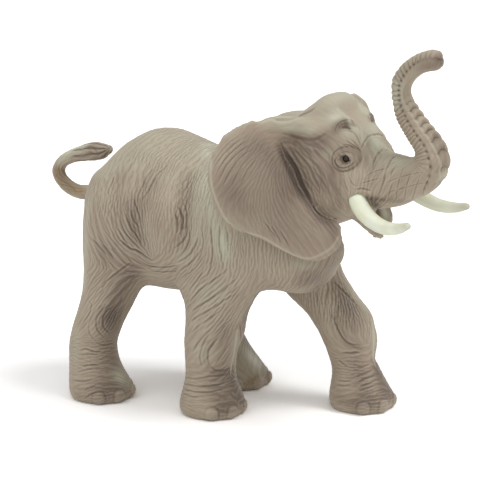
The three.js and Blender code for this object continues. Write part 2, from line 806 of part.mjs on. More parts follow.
// Flattened roll along a line of the ear
function earFold(hand) {
  const rows = smoothTable(earFoldShares, SMALL_STEPS);
  const places = rows.map(([forward, out, up]) => earPoint(hand, forward, out, up));
  const stations = rows.map(([, , , thick], index) => {
    const before = places[Math.max(index - 1, 0)];
    const after = places[Math.min(index + 1, SMALL_STEPS)];
    const heading = after.clone().sub(before).normalize();
    const side = new THREE.Vector3().crossVectors(AXIS_Z, heading).normalize();
    const half = (thick * EAR_FOLD_THICKNESS) / 2;
    const reach = (thick * EAR_FOLD_HEIGHT) / 2;
    return { at: places[index], side, up: AXIS_Z, half, rise: reach, drop: reach };
  });
  return solid(loft(stations, SMALL_SIDES, EAR_RIM_THICKNESS, EAR_RIM_THICKNESS), headMatrix);
}

function earShell(hand) {
  const root = earLine(earRootShares, hand, EAR_STEPS);
  const edge = earLine(earEdgeShares, hand, EAR_STEPS);
  const chord = edge[Math.round(EAR_STEPS / 2)].clone().sub(root[Math.round(EAR_STEPS / 2)]);
  const facing = new THREE.Vector3().crossVectors(chord, AXIS_Z).multiplyScalar(-hand).normalize();
  const front = [];
  const back = [];
  for (let row = 0; row <= EAR_STEPS; row += 1) {
    for (let ring = 0; ring <= EAR_RINGS; ring += 1) {
      const share = ring / EAR_RINGS;
      const point = root[row].clone().lerp(edge[row], share);
      const along = Math.sin((row / EAR_STEPS) * Math.PI);
      point.addScaledVector(facing, -EAR_CUP_DEPTH * Math.sin(share * Math.PI) * along);
      const thick = THREE.MathUtils.lerp(EAR_THICKNESS, EAR_RIM_THICKNESS, share) / 2;
      front.push(point.clone().addScaledVector(facing, thick));
      back.push(point.clone().addScaledVector(facing, -thick));
    }
  }
  return solid(sheetMesh(front, back, EAR_STEPS + 1, EAR_RINGS + 1), headMatrix);
}

// Closed mesh of a sheet with two faces and four edges
function sheetMesh(front, back, rows, columns) {
  const points = [...front, ...back];
  const offset = front.length;
  const faces = [];
  const quad = (a, b, c, d) => {
    const across = points[a].distanceTo(points[c]);
    const down = points[b].distanceTo(points[d]);
    if (across < down) faces.push(a, b, c, a, c, d);
    else faces.push(a, b, d, b, c, d);
  };
  for (let row = 0; row < rows - 1; row += 1) {
    for (let column = 0; column < columns - 1; column += 1) {
      const a = row * columns + column;
      const b = a + 1;
      const c = b + columns;
      const d = a + columns;
      quad(a, b, c, d);
      quad(a + offset, d + offset, c + offset, b + offset);
    }
  }
  const border = [];
  for (let column = 0; column < columns - 1; column += 1) border.push(column);
  for (let row = 0; row < rows - 1; row += 1) border.push(row * columns + columns - 1);
  for (let column = columns - 1; column > 0; column -= 1) border.push((rows - 1) * columns + column);
  for (let row = rows - 1; row > 0; row -= 1) border.push(row * columns);
  border.forEach((place, index) => {
    const next = border[(index + 1) % border.length];
    quad(next, place, place + offset, next + offset);
  });
  return meshOf(points, faces);
}

function earTab(hand, grow) {
  const geometry = new THREE.BoxGeometry(
    EAR_TAB_THICKNESS + grow * 2,
    EAR_TAB_DEPTH + grow * 2,
    EAR_TAB_LENGTH + grow * 2,
  );
  const middle = earPoint(hand, ...earTabShares);
  geometry.rotateY(EAR_TAB_TILT);
  geometry.rotateZ(hand * EAR_FLARE);
  geometry.translate(middle.x, middle.y, middle.z);
  return solid(geometry, headMatrix);
}

// Eyes

function eyeMiddle(hand) {
  const [along, out, height] = eyeShares;
  return headPoint(along, hand * out, height);
}

function eyeBall(hand, radius) {
  const middle = eyeMiddle(hand);
  const geometry = new THREE.SphereGeometry(radius, SMALL_SIDES, SMALL_SIDES);
  geometry.translate(middle.x, middle.y, middle.z);
  return solid(geometry, headMatrix);
}

// Almond-shaped opening between the lids, from the middle of the eye outward
function eyeOpening(hand) {
  const middle = eyeMiddle(hand);
  const depth = EYE_RADIUS * 2;
  const geometry = new THREE.CylinderGeometry(1, 1, 1, SMALL_SIDES);
  geometry.scale(EYE_OPENING_LENGTH / 2, depth, EYE_OPENING_HEIGHT / 2);
  geometry.translate(middle.x, middle.y + (hand * depth) / 2, middle.z);
  return solid(geometry, headMatrix);
}

// Tail

function tailLoft(grow) {
  const root = new THREE.Vector3(rumpX, 0, tailRootHeightShare * BACK_HEIGHT);
  const rows = smoothTable(tailShares, SMALL_STEPS * 2);
  const places = rows.map(([back, across, up]) => {
    const point = new THREE.Vector3(-back, across, up).multiplyScalar(TAIL_LENGTH);
    return point.add(root);
  });
  const stations = rows.map(([, , , thick], index) => {
    const before = places[Math.max(index - 1, 0)];
    const after = places[Math.min(index + 1, rows.length - 1)];
    const heading = after.clone().sub(before).normalize();
    const side = AXIS_Y.clone().addScaledVector(heading, -heading.y).normalize();
    const radius = thick * TAIL_RADIUS + grow;
    const up = new THREE.Vector3().crossVectors(heading, side);
    return { at: places[index], side, up, half: radius, rise: radius, drop: radius };
  });
  return solid(loft(stations, SMALL_SIDES, grow, TAIL_RADIUS * tailEndShare));
}

// Assembly

const legTables = {
  left_front_leg: frontLegShares,
  right_front_leg: frontLegShares,
  left_hind_leg: hindLegShares,
  right_hind_leg: hindLegShares,
};

function makePieces() {
  const core = torsoSolid(0);
  const grownCore = torsoSolid(GLUE_GAP);
  const wholeHead = headLoft(0);
  const seam = headPoint(neckSeamShare, 0, neckPegHeightShare);
  const neckFront = frontOf(seam, AXIS_X);
  const neckFrontGap = frontOf(seam.clone().addScaledVector(AXIS_X, -GLUE_GAP), AXIS_X);
  const body = core.add(wholeHead.subtract(neckFrontGap));
  const grownBody = grownCore.add(headLoft(GLUE_GAP));

  const pieces = {};
  let torso = body;
  let head = wholeHead.intersect(neckFront).subtract(grownCore);
  for (const [name, shares] of Object.entries(legTables)) {
    pieces[name] = legSolid(name, shares, body, grownBody);
    const pocket = hipBlock(name, shares, HIP_SEAM_MARGIN + GLUE_GAP);
    torso = torso.subtract(pocket).subtract(hipPeg(name, shares, GLUE_GAP));
    head = head.subtract(pocket);
  }
  pieces.tail = tailLoft(0);
  torso = torso.subtract(tailLoft(GLUE_GAP));
  const neckHeading = headHeading(AXIS_X.clone().negate());
  const neckStart = inHead(seam.clone().addScaledVector(AXIS_X, GLUE_GAP * 2));
  torso = torso.subtract(peg(neckStart, neckHeading, NECK_PEG_RADIUS, NECK_PEG_LENGTH, GLUE_GAP));
  pieces.torso = largest(torso);

  const trunkCut = trunkSeam();
  const trunkFront = frontOf(trunkCut.at, trunkCut.heading);
  head = head.add(trunkLoft()).subtract(trunkFront);
  head = head.add(tuskSheath(1)).add(tuskSheath(-1));
  head = head.add(peg(neckStart, neckHeading, NECK_PEG_RADIUS, NECK_PEG_LENGTH));
  head = head.subtract(trunkPeg(GLUE_GAP));
  pieces.trunk = trunkSolid();
  pieces.lower_jaw = largest(jawLoft(0, 0, 1).subtract(jawLoft(0, JAW_DEPTH * jawHollowShare, jawHollowSizeShare)));
  head = head.subtract(mouthHollow()).subtract(jawLoft(GLUE_GAP, 0, 1));
  for (const [label, hand] of [["left", 1], ["right", -1]]) {
    pieces[`${label}_tusk`] = tuskSolid(hand, 0);
    head = head.subtract(tuskSolid(hand, GLUE_GAP));
    const shell = earShell(hand).add(earFold(hand)).subtract(headLoft(GLUE_GAP)).subtract(grownCore);
    pieces[`${label}_ear`] = largest(largest(shell).add(earTab(hand, 0)));
    head = head.subtract(earTab(hand, GLUE_GAP));
    pieces[`${label}_eye`] = eyeBall(hand, EYE_RADIUS);
    head = head.add(eyeBall(hand, EYE_RADIUS + EYE_LID_THICKNESS));
    head = head.subtract(eyeBall(hand, EYE_RADIUS + GLUE_GAP)).subtract(eyeOpening(hand));
  }
  pieces.head = largest(head);
  return pieces;
}

const finishes = {
  skin: { color: "#8f8578", roughness: 0.75 },
  ear: { color: "#857566", roughness: 0.75 },
  tusk: { color: "#d9dccb", roughness: 0.5 },
  mouth: { color: "#b5a597", roughness: 0.7 },
  eye: { color: "#1c1815", roughness: 0.15 },
};
const finishOf = {
  left_tusk: "tusk",
  right_tusk: "tusk",
  left_eye: "eye",
  right_eye: "eye",
  left_ear: "ear",
  right_ear: "ear",
  lower_jaw: "mouth",
};

const elephant = new THREE.Group();
for (const [name, body] of Object.entries(makePieces())) {
  const made = body.getMesh();
  const geometry = new THREE.BufferGeometry();
  geometry.setAttribute("position", new THREE.BufferAttribute(made.vertProperties, 3));
  geometry.setIndex(new THREE.BufferAttribute(made.triVerts, 1));
  geometry.computeVertexNormals();
  const finish = finishes[finishOf[name] ?? "skin"];
  const mesh = new THREE.Mesh(geometry, new THREE.MeshStandardMaterial({ ...finish, metalness: 0 }));
  mesh.name = name;
  elephant.add(mesh);
}

// The origin lies at the middle of the footprint, on the floor
const reach = new THREE.Box3().setFromObject(elephant);
const centre = reach.getCenter(new THREE.Vector3());
for (const mesh of elephant.children) {
  mesh.position.set(-centre.x, -centre.y, -reach.min.z);
}

export default elephant;
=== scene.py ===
import json
import math

import bpy
import numpy as np
from mathutils import Matrix, Vector
from mathutils.bvhtree import BVHTree
from mathutils.kdtree import KDTree

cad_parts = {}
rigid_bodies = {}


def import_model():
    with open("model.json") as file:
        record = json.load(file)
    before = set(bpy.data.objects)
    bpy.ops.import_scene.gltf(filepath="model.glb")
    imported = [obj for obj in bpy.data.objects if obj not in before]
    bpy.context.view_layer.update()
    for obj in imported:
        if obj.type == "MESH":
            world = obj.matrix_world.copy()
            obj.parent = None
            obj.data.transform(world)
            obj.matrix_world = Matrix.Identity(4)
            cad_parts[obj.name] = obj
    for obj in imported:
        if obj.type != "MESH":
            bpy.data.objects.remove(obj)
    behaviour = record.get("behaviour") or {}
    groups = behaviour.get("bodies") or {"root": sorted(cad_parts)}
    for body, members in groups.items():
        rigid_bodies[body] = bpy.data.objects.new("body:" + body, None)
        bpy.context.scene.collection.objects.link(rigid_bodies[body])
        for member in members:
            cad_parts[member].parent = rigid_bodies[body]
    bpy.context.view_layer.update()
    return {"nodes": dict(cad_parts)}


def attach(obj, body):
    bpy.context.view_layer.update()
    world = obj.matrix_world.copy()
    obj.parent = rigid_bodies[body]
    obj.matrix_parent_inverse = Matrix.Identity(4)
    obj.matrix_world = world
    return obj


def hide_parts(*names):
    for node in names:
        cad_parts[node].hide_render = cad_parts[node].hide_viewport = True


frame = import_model()

# Sizes, in millimetres unless a name says otherwise

MM = 0.001
PHOTO_SIZE = 500
LENS = 128.0
SENSOR = 36.0
CAMERA_AZIMUTH = math.radians(30)
CAMERA_ELEVATION = math.radians(13)
CAMERA_DISTANCE = 646.5
CAMERA_TARGET = (-0.097, 3.506, 57.3)

VOXEL = 0.8
SWELL = 0.2
HEAD_ORIGIN = (21.303, -0.094, 0.0)
HEAD_YAW = math.radians(-12)
HEAD_ROLL = math.radians(2)
HEAD_ROLL_HEIGHT = 95.0
FACE_START = 24.0
FACE_LOW = 78.0
FACE_HALF = 20.0

LEG_NODES = ("left_front_leg", "right_front_leg", "left_hind_leg", "right_hind_leg")
EAR_NODES = ("left_ear", "right_ear")
SKIN_NODES = ("torso", "head", "trunk", "tail", "lower_jaw") + LEG_NODES + EAR_NODES
EYE_NODES = ("left_eye", "right_eye")

# How strongly each node's facets are smoothed away, and how often
SMOOTHING = {"torso": 1.0, "head": 0.55, "trunk": 0.4, "tail": 0.2, "lower_jaw": 0.12}
SMOOTHING.update({name: 0.8 for name in LEG_NODES})
SMOOTHING.update({name: 0.22 for name in EAR_NODES})
SMOOTHING_ROUNDS = 70
FOOT_SMOOTHING = 0.3
FOOT_HEIGHT = 9.0
# How often these strengths are blended into each other where nodes meet
BLEND_ROUNDS = 6
# How much of what the smoothing took away is given back at most, and how often that is evened
SHRINK_LIMIT = 1.5
SHRINK_ROUNDS = 30
# How often the new points of the finer region are evened
REFINED_ROUNDS = 4

# Camera


def camera_axes():
    back = Vector(
        (
            math.sin(CAMERA_AZIMUTH) * math.cos(CAMERA_ELEVATION),
            -math.cos(CAMERA_AZIMUTH) * math.cos(CAMERA_ELEVATION),
            math.sin(CAMERA_ELEVATION),
        )
    )
    turn = back.to_track_quat("Z", "Y")
    return back, turn


camera_back, camera_turn = camera_axes()
camera_place = Vector(CAMERA_TARGET) + camera_back * CAMERA_DISTANCE


def pixel_ray(u, v):
    reach = PHOTO_SIZE * LENS / SENSOR
    half = PHOTO_SIZE / 2
    return (camera_turn @ Vector(((u - half) / reach, (half - v) / reach, -1))).normalized()


def add_camera():
    data = bpy.data.cameras.new("camera")
    data.lens = LENS
    data.sensor_width = SENSOR
    camera = bpy.data.objects.new("camera", data)
    bpy.context.scene.collection.objects.link(camera)
    camera.rotation_mode = "QUATERNION"
    camera.rotation_quaternion = camera_turn
    camera.location = camera_place * MM
    bpy.context.scene.camera = camera


# Head frame


def head_matrix():
    pivot = Vector(HEAD_ORIGIN) + Vector((0, 0, HEAD_ROLL_HEIGHT))
    turn = Matrix.Rotation(HEAD_YAW, 4, "Z") @ Matrix.Rotation(HEAD_ROLL, 4, "X")
    return Matrix.Translation(pivot) @ turn @ Matrix.Translation((0, 0, -HEAD_ROLL_HEIGHT))


head_place = np.array(head_matrix())
head_inverse = np.linalg.inv(head_place)


def to_head(points):
    return points @ head_inverse[:3, :3].T + head_inverse[:3, 3]


def from_head(points):
    return points @ head_place[:3, :3].T + head_place[:3, 3]


def mirrored_body(points):
    return points * np.array([1, -1, 1])


def mirrored_head(points):
    return from_head(to_head(points) * np.array([1, -1, 1]))


# Skin mesh


def unit(vectors):
    return vectors / np.maximum(np.linalg.norm(vectors, axis=-1, keepdims=True), 1e-9)


def smoothstep(low, high, values):
    t = np.clip((values - low) / (high - low), 0, 1)
    return t * t * (3 - 2 * t)


class Skin:
    """A mesh of quads held as arrays, in millimetres."""

    def __init__(self, points, quads):
        self.points = points
        self.quads = quads
        self.join()

    def join(self):
        sides = np.concatenate([self.quads[:, [i, (i + 1) % 4]] for i in range(4)])
        sides.sort(axis=1)
        keys = np.unique(sides[:, 0].astype(np.int64) * len(self.points) + sides[:, 1])
        self.edges = np.stack([keys // len(self.points), keys % len(self.points)], 1)
        count = len(self.points)
        self.degree = np.bincount(self.edges.ravel(), minlength=count).clip(1)
        self.refresh()

    def refresh(self):
        a, b, c, d = (self.points[self.quads[:, i]] for i in range(4))
        face = np.cross(c - a, d - b)
        total = np.zeros_like(self.points)
        for corner in range(4):
            for axis in range(3):
                total[:, axis] += np.bincount(
                    self.quads[:, corner], face[:, axis], minlength=len(self.points)
                )
        self.normals = unit(total)

    def around(self, field):
        """The mean of a field over each point's neighbours."""
        first, second = self.edges[:, 0], self.edges[:, 1]
        count = len(self.points)
        if field.ndim == 1:
            total = np.bincount(first, field[second], minlength=count)
            total += np.bincount(second, field[first], minlength=count)
            return total / self.degree
        columns = [self.around(field[:, axis]) for axis in range(field.shape[1])]
        return np.stack(columns, 1)

    def relaxed(self, field, rounds, share=0.5):
        for _ in range(rounds):
            field = field + share * (self.around(field) - field)
        return field

    def lift(self, heights):
        self.points = self.points + self.normals * heights[:, None]
        self.refresh()


def mesh_arrays(mesh):
    points = np.empty(len(mesh.vertices) * 3, np.float32)
    mesh.vertices.foreach_get("co", points)
    corners = np.empty(len(mesh.loops), np.int32)
    mesh.loops.foreach_get("vertex_index", corners)
    return points.reshape(-1, 3).astype(float) / MM, corners.reshape(-1, 4)


def new_mesh(name, points, faces):
    """A mesh object from arrays: points in millimetres, faces of equal size."""
    mesh = bpy.data.meshes.new(name)
    size = faces.shape[1]
    mesh.vertices.add(len(points))
    mesh.vertices.foreach_set("co", (points * MM).astype(np.float32).ravel())
    mesh.loops.add(faces.size)
    mesh.loops.foreach_set("vertex_index", faces.astype(np.int32).ravel())
    mesh.polygons.add(len(faces))
    mesh.polygons.foreach_set("loop_start", np.arange(0, faces.size, size, dtype=np.int32))
    mesh.update(calc_edges=True)
    piece = bpy.data.objects.new(name, mesh)
    bpy.context.scene.collection.objects.link(piece)
    return piece


def modified_arrays(piece):
    """The arrays of a piece with its modifiers applied. The piece is removed."""
    bpy.context.view_layer.update()
    mesh = bpy.data.meshes.new_from_object(
        piece.evaluated_get(bpy.context.evaluated_depsgraph_get())
    )
    arrays = mesh_arrays(mesh)
    bpy.data.meshes.remove(mesh)
    bpy.data.objects.remove(piece)
    return arrays


def solid_triangles(names):
    """Joined triangles of CAD nodes with doubled corners merged, and each one's node number."""
    points, faces, owners = [], [], []
    start = 0
    for number, name in enumerate(names):
        mesh = frame["nodes"][name].data
        mesh.calc_loop_triangles()
        place = np.empty(len(mesh.vertices) * 3, np.float32)
        mesh.vertices.foreach_get("co", place)
        corner = np.empty(len(mesh.loop_triangles) * 3, np.int32)
        mesh.loop_triangles.foreach_get("vertices", corner)
        place = place.reshape(-1, 3).astype(float) / MM
        merged, index = np.unique(np.round(place, 4), axis=0, return_inverse=True)
        faces.append(index.ravel()[corner].reshape(-1, 3) + start)
        owners.append(np.full(len(corner) // 3, number))
        points.append(merged)
        start += len(merged)
    return np.concatenate(points), np.concatenate(faces), np.concatenate(owners)


def triangle_normals(points, faces):
    a, b, c = (points[faces[:, i]] for i in range(3))
    face = unit(np.cross(b - a, c - a))
    total = np.zeros_like(points)
    for corner in range(3):
        for axis in range(3):
            total[:, axis] += np.bincount(faces[:, corner], face[:, axis], minlength=len(points))
    return unit(total)


def largest_island(points, quads):
    label = np.arange(len(points))
    sides = np.concatenate([quads[:, [i, (i + 1) % 4]] for i in range(4)])
    while True:
        lower = label.copy()
        np.minimum.at(lower, sides[:, 0], label[sides[:, 1]])
        np.minimum.at(lower, sides[:, 1], label[sides[:, 0]])
        lower = lower[lower]
        if np.array_equal(lower, label):
            break
        label = lower
    kept = label == np.bincount(label).argmax()
    renumbered = np.cumsum(kept) - 1
    return points[kept], renumbered[quads[kept[quads[:, 0]]]]


def numbered_sides(quads, count):
    """The number of each quad's four sides in the list of a mesh's edges, and that list."""
    sides = np.stack([quads[:, [i, (i + 1) % 4]] for i in range(4)], 1)
    sides.sort(axis=2)
    keys = sides[:, :, 0].astype(np.int64) * count + sides[:, :, 1]
    edge_keys, numbers = np.unique(keys, return_inverse=True)
    edges = np.stack([edge_keys // count, edge_keys % count], 1)
    return numbers.reshape(-1, 4), edges


def quartered(quads, numbers, count, edge_count):
    """Each quad as four, with points in the order old points, edges, faces."""
    middle = count + edge_count + np.arange(len(quads))
    side = numbers + count
    return np.concatenate(
        [np.stack([quads[:, i], side[:, i], middle, side[:, i - 1]], 1) for i in range(4)]
    )


def subdivided(skin):
    """The skin with each quad divided into four, and its points moved onto a smooth surface."""
    points, quads, count = skin.points, skin.quads, len(skin.points)
    numbers, edges = numbered_sides(quads, count)
    face_points = points[quads].mean(1)
    edge_points = np.zeros((len(edges), 3))
    vertex_faces = np.zeros_like(points)
    face_count = np.bincount(quads.ravel(), minlength=count)
    side_count = np.bincount(numbers.ravel(), minlength=len(edges))
    for axis in range(3):
        spread = np.repeat(face_points[:, axis], 4)
        edge_points[:, axis] = np.bincount(numbers.ravel(), spread, len(edges)) / side_count
        vertex_faces[:, axis] = np.bincount(quads.ravel(), spread, count) / face_count
    edge_points = (edge_points + points[edges].mean(1)) / 2
    edge_middles = (skin.around(points) + points) / 2
    weight = skin.degree[:, None]
    moved = (vertex_faces + 2 * edge_middles + (weight - 3) * points) / weight
    new_points = np.concatenate([moved, edge_points, face_points])
    return Skin(new_points, quartered(quads, numbers, count, len(edges)))


class Refined(Skin):
    """A skin with some of its quads divided into four, and its other quads as they are."""

    def __init__(self, base, chosen):
        self.base = base
        count = len(base.points)
        numbers, edges = numbered_sides(base.quads, count)
        used, place = np.unique(numbers[chosen], return_inverse=True)
        small = quartered(base.quads[chosen], place.reshape(-1, 4), count, len(used))
        self.edge_ends = edges[used]
        self.face_corners = base.quads[chosen]
        hangs = np.isin(used, numbers[~chosen])
        self.hanging = np.flatnonzero(hangs) + count
        self.ends = self.edge_ends[hangs]
        self.parent = np.concatenate([np.flatnonzero(~chosen), np.tile(np.flatnonzero(chosen), 4)])
        quads = np.concatenate([base.quads[~chosen], small])
        super().__init__(self.carried(base.points), quads)
        free = np.ones(len(self.points), bool)
        free[:count] = free[self.hanging] = False
        for _ in range(REFINED_ROUNDS):
            self.points[free] = self.relaxed(self.points, 1)[free]
        self.refresh()

    def carried(self, field):
        """A field of the base skin at every point of this one."""
        middles = [field[self.edge_ends].mean(1), field[self.face_corners].mean(1)]
        return np.concatenate([field, *middles])

    def close_cracks(self):
        """Each point in the middle of a larger quad's side goes back onto that side."""
        self.points[self.hanging] = self.points[self.ends].mean(1)
        self.normals[self.hanging] = unit(self.normals[self.ends].mean(1))


def fine_region(skin):
    """The quads of the trunk, the face and the surroundings of the eyes."""
    places = to_head(skin.points[skin.quads].mean(1))
    face = places[:, 0] > FACE_START
    return face & (places[:, 2] > FACE_LOW) & (np.abs(places[:, 1]) < FACE_HALF)


def grown_skin():
    """One closed skin round all the soft looking solids, free of their facets."""
    points, faces, owners = solid_triangles(SKIN_NODES + EYE_NODES)
    owners[owners >= len(SKIN_NODES)] = SKIN_NODES.index("head")
    swollen = points + triangle_normals(points, faces) * SWELL
    block = new_mesh("swollen", swollen, faces)
    remesh = block.modifiers.new("voxels", "REMESH")
    remesh.mode = "VOXEL"
    remesh.voxel_size = VOXEL * MM
    skin = Skin(*largest_island(*modified_arrays(block)))
    nearest = BVHTree.FromPolygons(points.tolist(), faces.tolist())
    coarse_owner = np.array([owners[nearest.find_nearest(p)[2]] for p in skin.points.tolist()])
    strength = np.array([SMOOTHING[name] for name in SKIN_NODES])[coarse_owner]
    legs = np.isin(coarse_owner, [SKIN_NODES.index(name) for name in LEG_NODES])
    strength[legs & (skin.points[:, 2] < FOOT_HEIGHT)] = FOOT_SMOOTHING
    strength = skin.relaxed(strength, BLEND_ROUNDS)[:, None]
    for _ in range(SMOOTHING_ROUNDS):
        skin.points += 0.5 * strength * (skin.around(skin.points) - skin.points)
    skin.refresh()
    places = np.array([nearest.find_nearest(p)[0] for p in skin.points.tolist()])
    shrink = ((places - skin.points) * skin.normals).sum(1)
    skin.lift(skin.relaxed(np.clip(shrink, -SHRINK_LIMIT, SHRINK_LIMIT), SHRINK_ROUNDS))
    fine = subdivided(skin)
    owner = np.array([owners[nearest.find_nearest(p)[2]] for p in fine.points.tolist()])
    return skin, coarse_owner, fine, owner


add_camera()
coarse, coarse_owner, base, owner = grown_skin()
skin = Refined(base, fine_region(base))

# Where strokes land

BODY, HEAD, LEG = "body", "head", "leg"
surface = BVHTree.FromPolygons(coarse.points.tolist(), coarse.quads.tolist())


def smooth_line(pixels, spacing=1.0):
    """A curve through picture points, resampled at even spacing in pixels."""
    knots = np.array(pixels, float)
    if len(knots) < 3:
        length = np.linalg.norm(knots[-1] - knots[0])
        share = np.linspace(0, 1, max(int(length / spacing), 1) + 1)[:, None]
        return knots[0] * (1 - share) + knots[-1] * share
    padded = np.concatenate([2 * knots[:1] - knots[1:2], knots, 2 * knots[-1:] - knots[-2:-1]])
    line = []
    for a, b, c, d in zip(padded, padded[1:], padded[2:], padded[3:]):
        steps = max(int(np.linalg.norm(c - b) / spacing), 1)
        t = (np.arange(steps) / steps)[:, None]
        line.append(
            0.5 * (2 * b + (c - a) * t + (2 * a - 5 * b + 4 * c - d) * t**2)
            + 0.5 * (3 * b - a - 3 * c + d) * t**3
        )
    line.append(knots[-1:])
    return np.concatenate(line)


def landed(line):
    """Where camera rays through a picture line meet the skin: rows of place and normal."""
    rows = []
    for u, v in line:
        place, normal, _, _ = surface.ray_cast(camera_place, pixel_ray(u, v))
        if place is not None:
            rows.append((*place, *normal))
    return np.array(rows).reshape(-1, 6)


def twin_line(line, mirror):
    """A line's mirror image moved to the nearest place on the skin that faces the same way."""
    points = mirror(line[:, :3])
    facing = mirror(line[:, :3] + line[:, 3:]) - points
    rows = []
    for point, way in zip(points.tolist(), facing):
        place, normal, _, _ = surface.find_nearest(point)
        if way @ np.array(normal) > 0:
            rows.append((*place, *normal))
    return np.array(rows).reshape(-1, 6)


class Grid:
    """Sorted cells that tell which points lie near a place."""

    def __init__(self, points, cell):
        self.cell = cell
        self.low = points.min(0) - 2 * cell
        self.shape = ((points.max(0) - self.low) / cell).astype(np.int64) + 3
        keys = self.keys_of(self.cells_of(points))
        self.order = np.argsort(keys, kind="stable")
        self.sorted_keys = keys[self.order]

    def cells_of(self, points):
        cells = ((points - self.low) / self.cell).astype(np.int64)
        return np.clip(cells, 1, self.shape - 2)

    def keys_of(self, cells):
        return (cells[:, 0] * self.shape[1] + cells[:, 1]) * self.shape[2] + cells[:, 2]

    def pairs(self, places):
        """Blocks of (place numbers, point numbers) for the points in the cells round each place."""
        cells = self.cells_of(places)
        for across in (-1, 0, 1):
            for along in (-1, 0, 1):
                key = self.keys_of(cells + np.array([across, along, 0]))
                start = np.searchsorted(self.sorted_keys, key - 1, "left")
                count = np.searchsorted(self.sorted_keys, key + 1, "right") - start
                total = int(count.sum())
                if total == 0:
                    continue
                place = np.repeat(np.arange(len(places)), count)
                step = np.arange(total) - np.repeat(np.cumsum(count) - count, count)
                yield place, self.order[np.repeat(start, count) + step]


rest_points = skin.points.copy()
rest_normals = skin.normals.copy()


# How far a broad stroke reaches, in widths, and the little that is left of it there
BROAD_REACH = 2.4
BROAD_REST = 0.004


class Strokes:
    """Samples of many lines on the skin, each with its own width and depth."""

    def __init__(self):
        self.rows = []

    def add(self, line, width, depth, taper=0.25):
        """A line of rows of place and normal, that thins out over a share of its length."""
        places, normals = line[:, :3], line[:, 3:]
        steps = np.linalg.norm(np.diff(places, axis=0), axis=1)
        length = np.concatenate([[0], np.cumsum(steps)])
        if length[-1] < 1e-6:
            return
        share = length / length[-1]
        fade = np.sqrt(np.clip(np.minimum(share, 1 - share) / taper, 0, 1))
        heading = unit(np.gradient(places, axis=0))
        step = np.full(len(line), length[-1] / len(steps))
        columns = [places, normals, heading, width * (0.6 + 0.4 * fade), depth * fade, step]
        self.rows.append(np.column_stack(columns))

    def pressed(self, profiles, spread=2.3):
        """For each profile, the most that any stroke asks of it at each fine point."""
        rows = np.concatenate(self.rows)
        places, normals, headings = rows[:, :3], rows[:, 3:6], rows[:, 6:9]
        widths, depths, steps = rows[:, 9], rows[:, 10], rows[:, 11]
        sides = unit(np.cross(normals, headings))
        reach = widths * spread
        results = [np.zeros(len(rest_points)) for _ in profiles]
        for place, point in Grid(rest_points, reach.max()).pairs(places):
            offset = rest_points[point] - places[place]
            across = np.einsum("ki,ki->k", offset, sides[place])
            near = np.abs(across) < reach[place]
            place, point, offset, across = place[near], point[near], offset[near], across[near]
            along = np.abs(np.einsum("ki,ki->k", offset, headings[place]))
            near = along <= 0.6 * steps[place] + 0.1
            place, point, offset, across = place[near], point[near], offset[near], across[near]
            level = np.abs(np.einsum("ki,ki->k", offset, normals[place]))
            facing = np.einsum("ki,ki->k", rest_normals[point], normals[place]) > 0.1
            near = facing & (level < reach[place] + 1.0)
            place, point, across = place[near], point[near], across[near]
            for result, profile in zip(results, profiles):
                value = depths[place] * profile(across / widths[place])
                np.maximum.at(result, point, value)
        return results


def broad(line, width, depth, wrap=0):
    """A wide soft stroke: its height at each fine point. With wrap it reaches round edges."""
    places, normals = line[:, :3], line[:, 3:]
    keep = slice(None, None, max(int(width / 2.2), 1))
    places, normals = places[keep], normals[keep]
    reach = BROAD_REACH * width
    low, high = places.min(0) - reach, places.max(0) + reach
    inside = np.flatnonzero(((rest_points > low) & (rest_points < high)).all(1))
    gap = ((rest_points[inside, None] - places[None]) ** 2).sum(2) / width**2
    facing = np.clip(rest_normals[inside] @ normals.T * 2 + wrap, 0, 1)
    total = (np.clip(np.exp(-gap) - BROAD_REST, 0, 1) * facing).sum(1)
    heights = np.zeros(len(rest_points))
    heights[inside] = -depth * total / max(total.max(), 1e-6)
    return heights


def groove(across):
    return np.exp(-(across**2))


def lips(across):
    return np.exp(-((np.abs(across) - 1.4) ** 2) * 2.0)


# What the picture shows, in its pixels

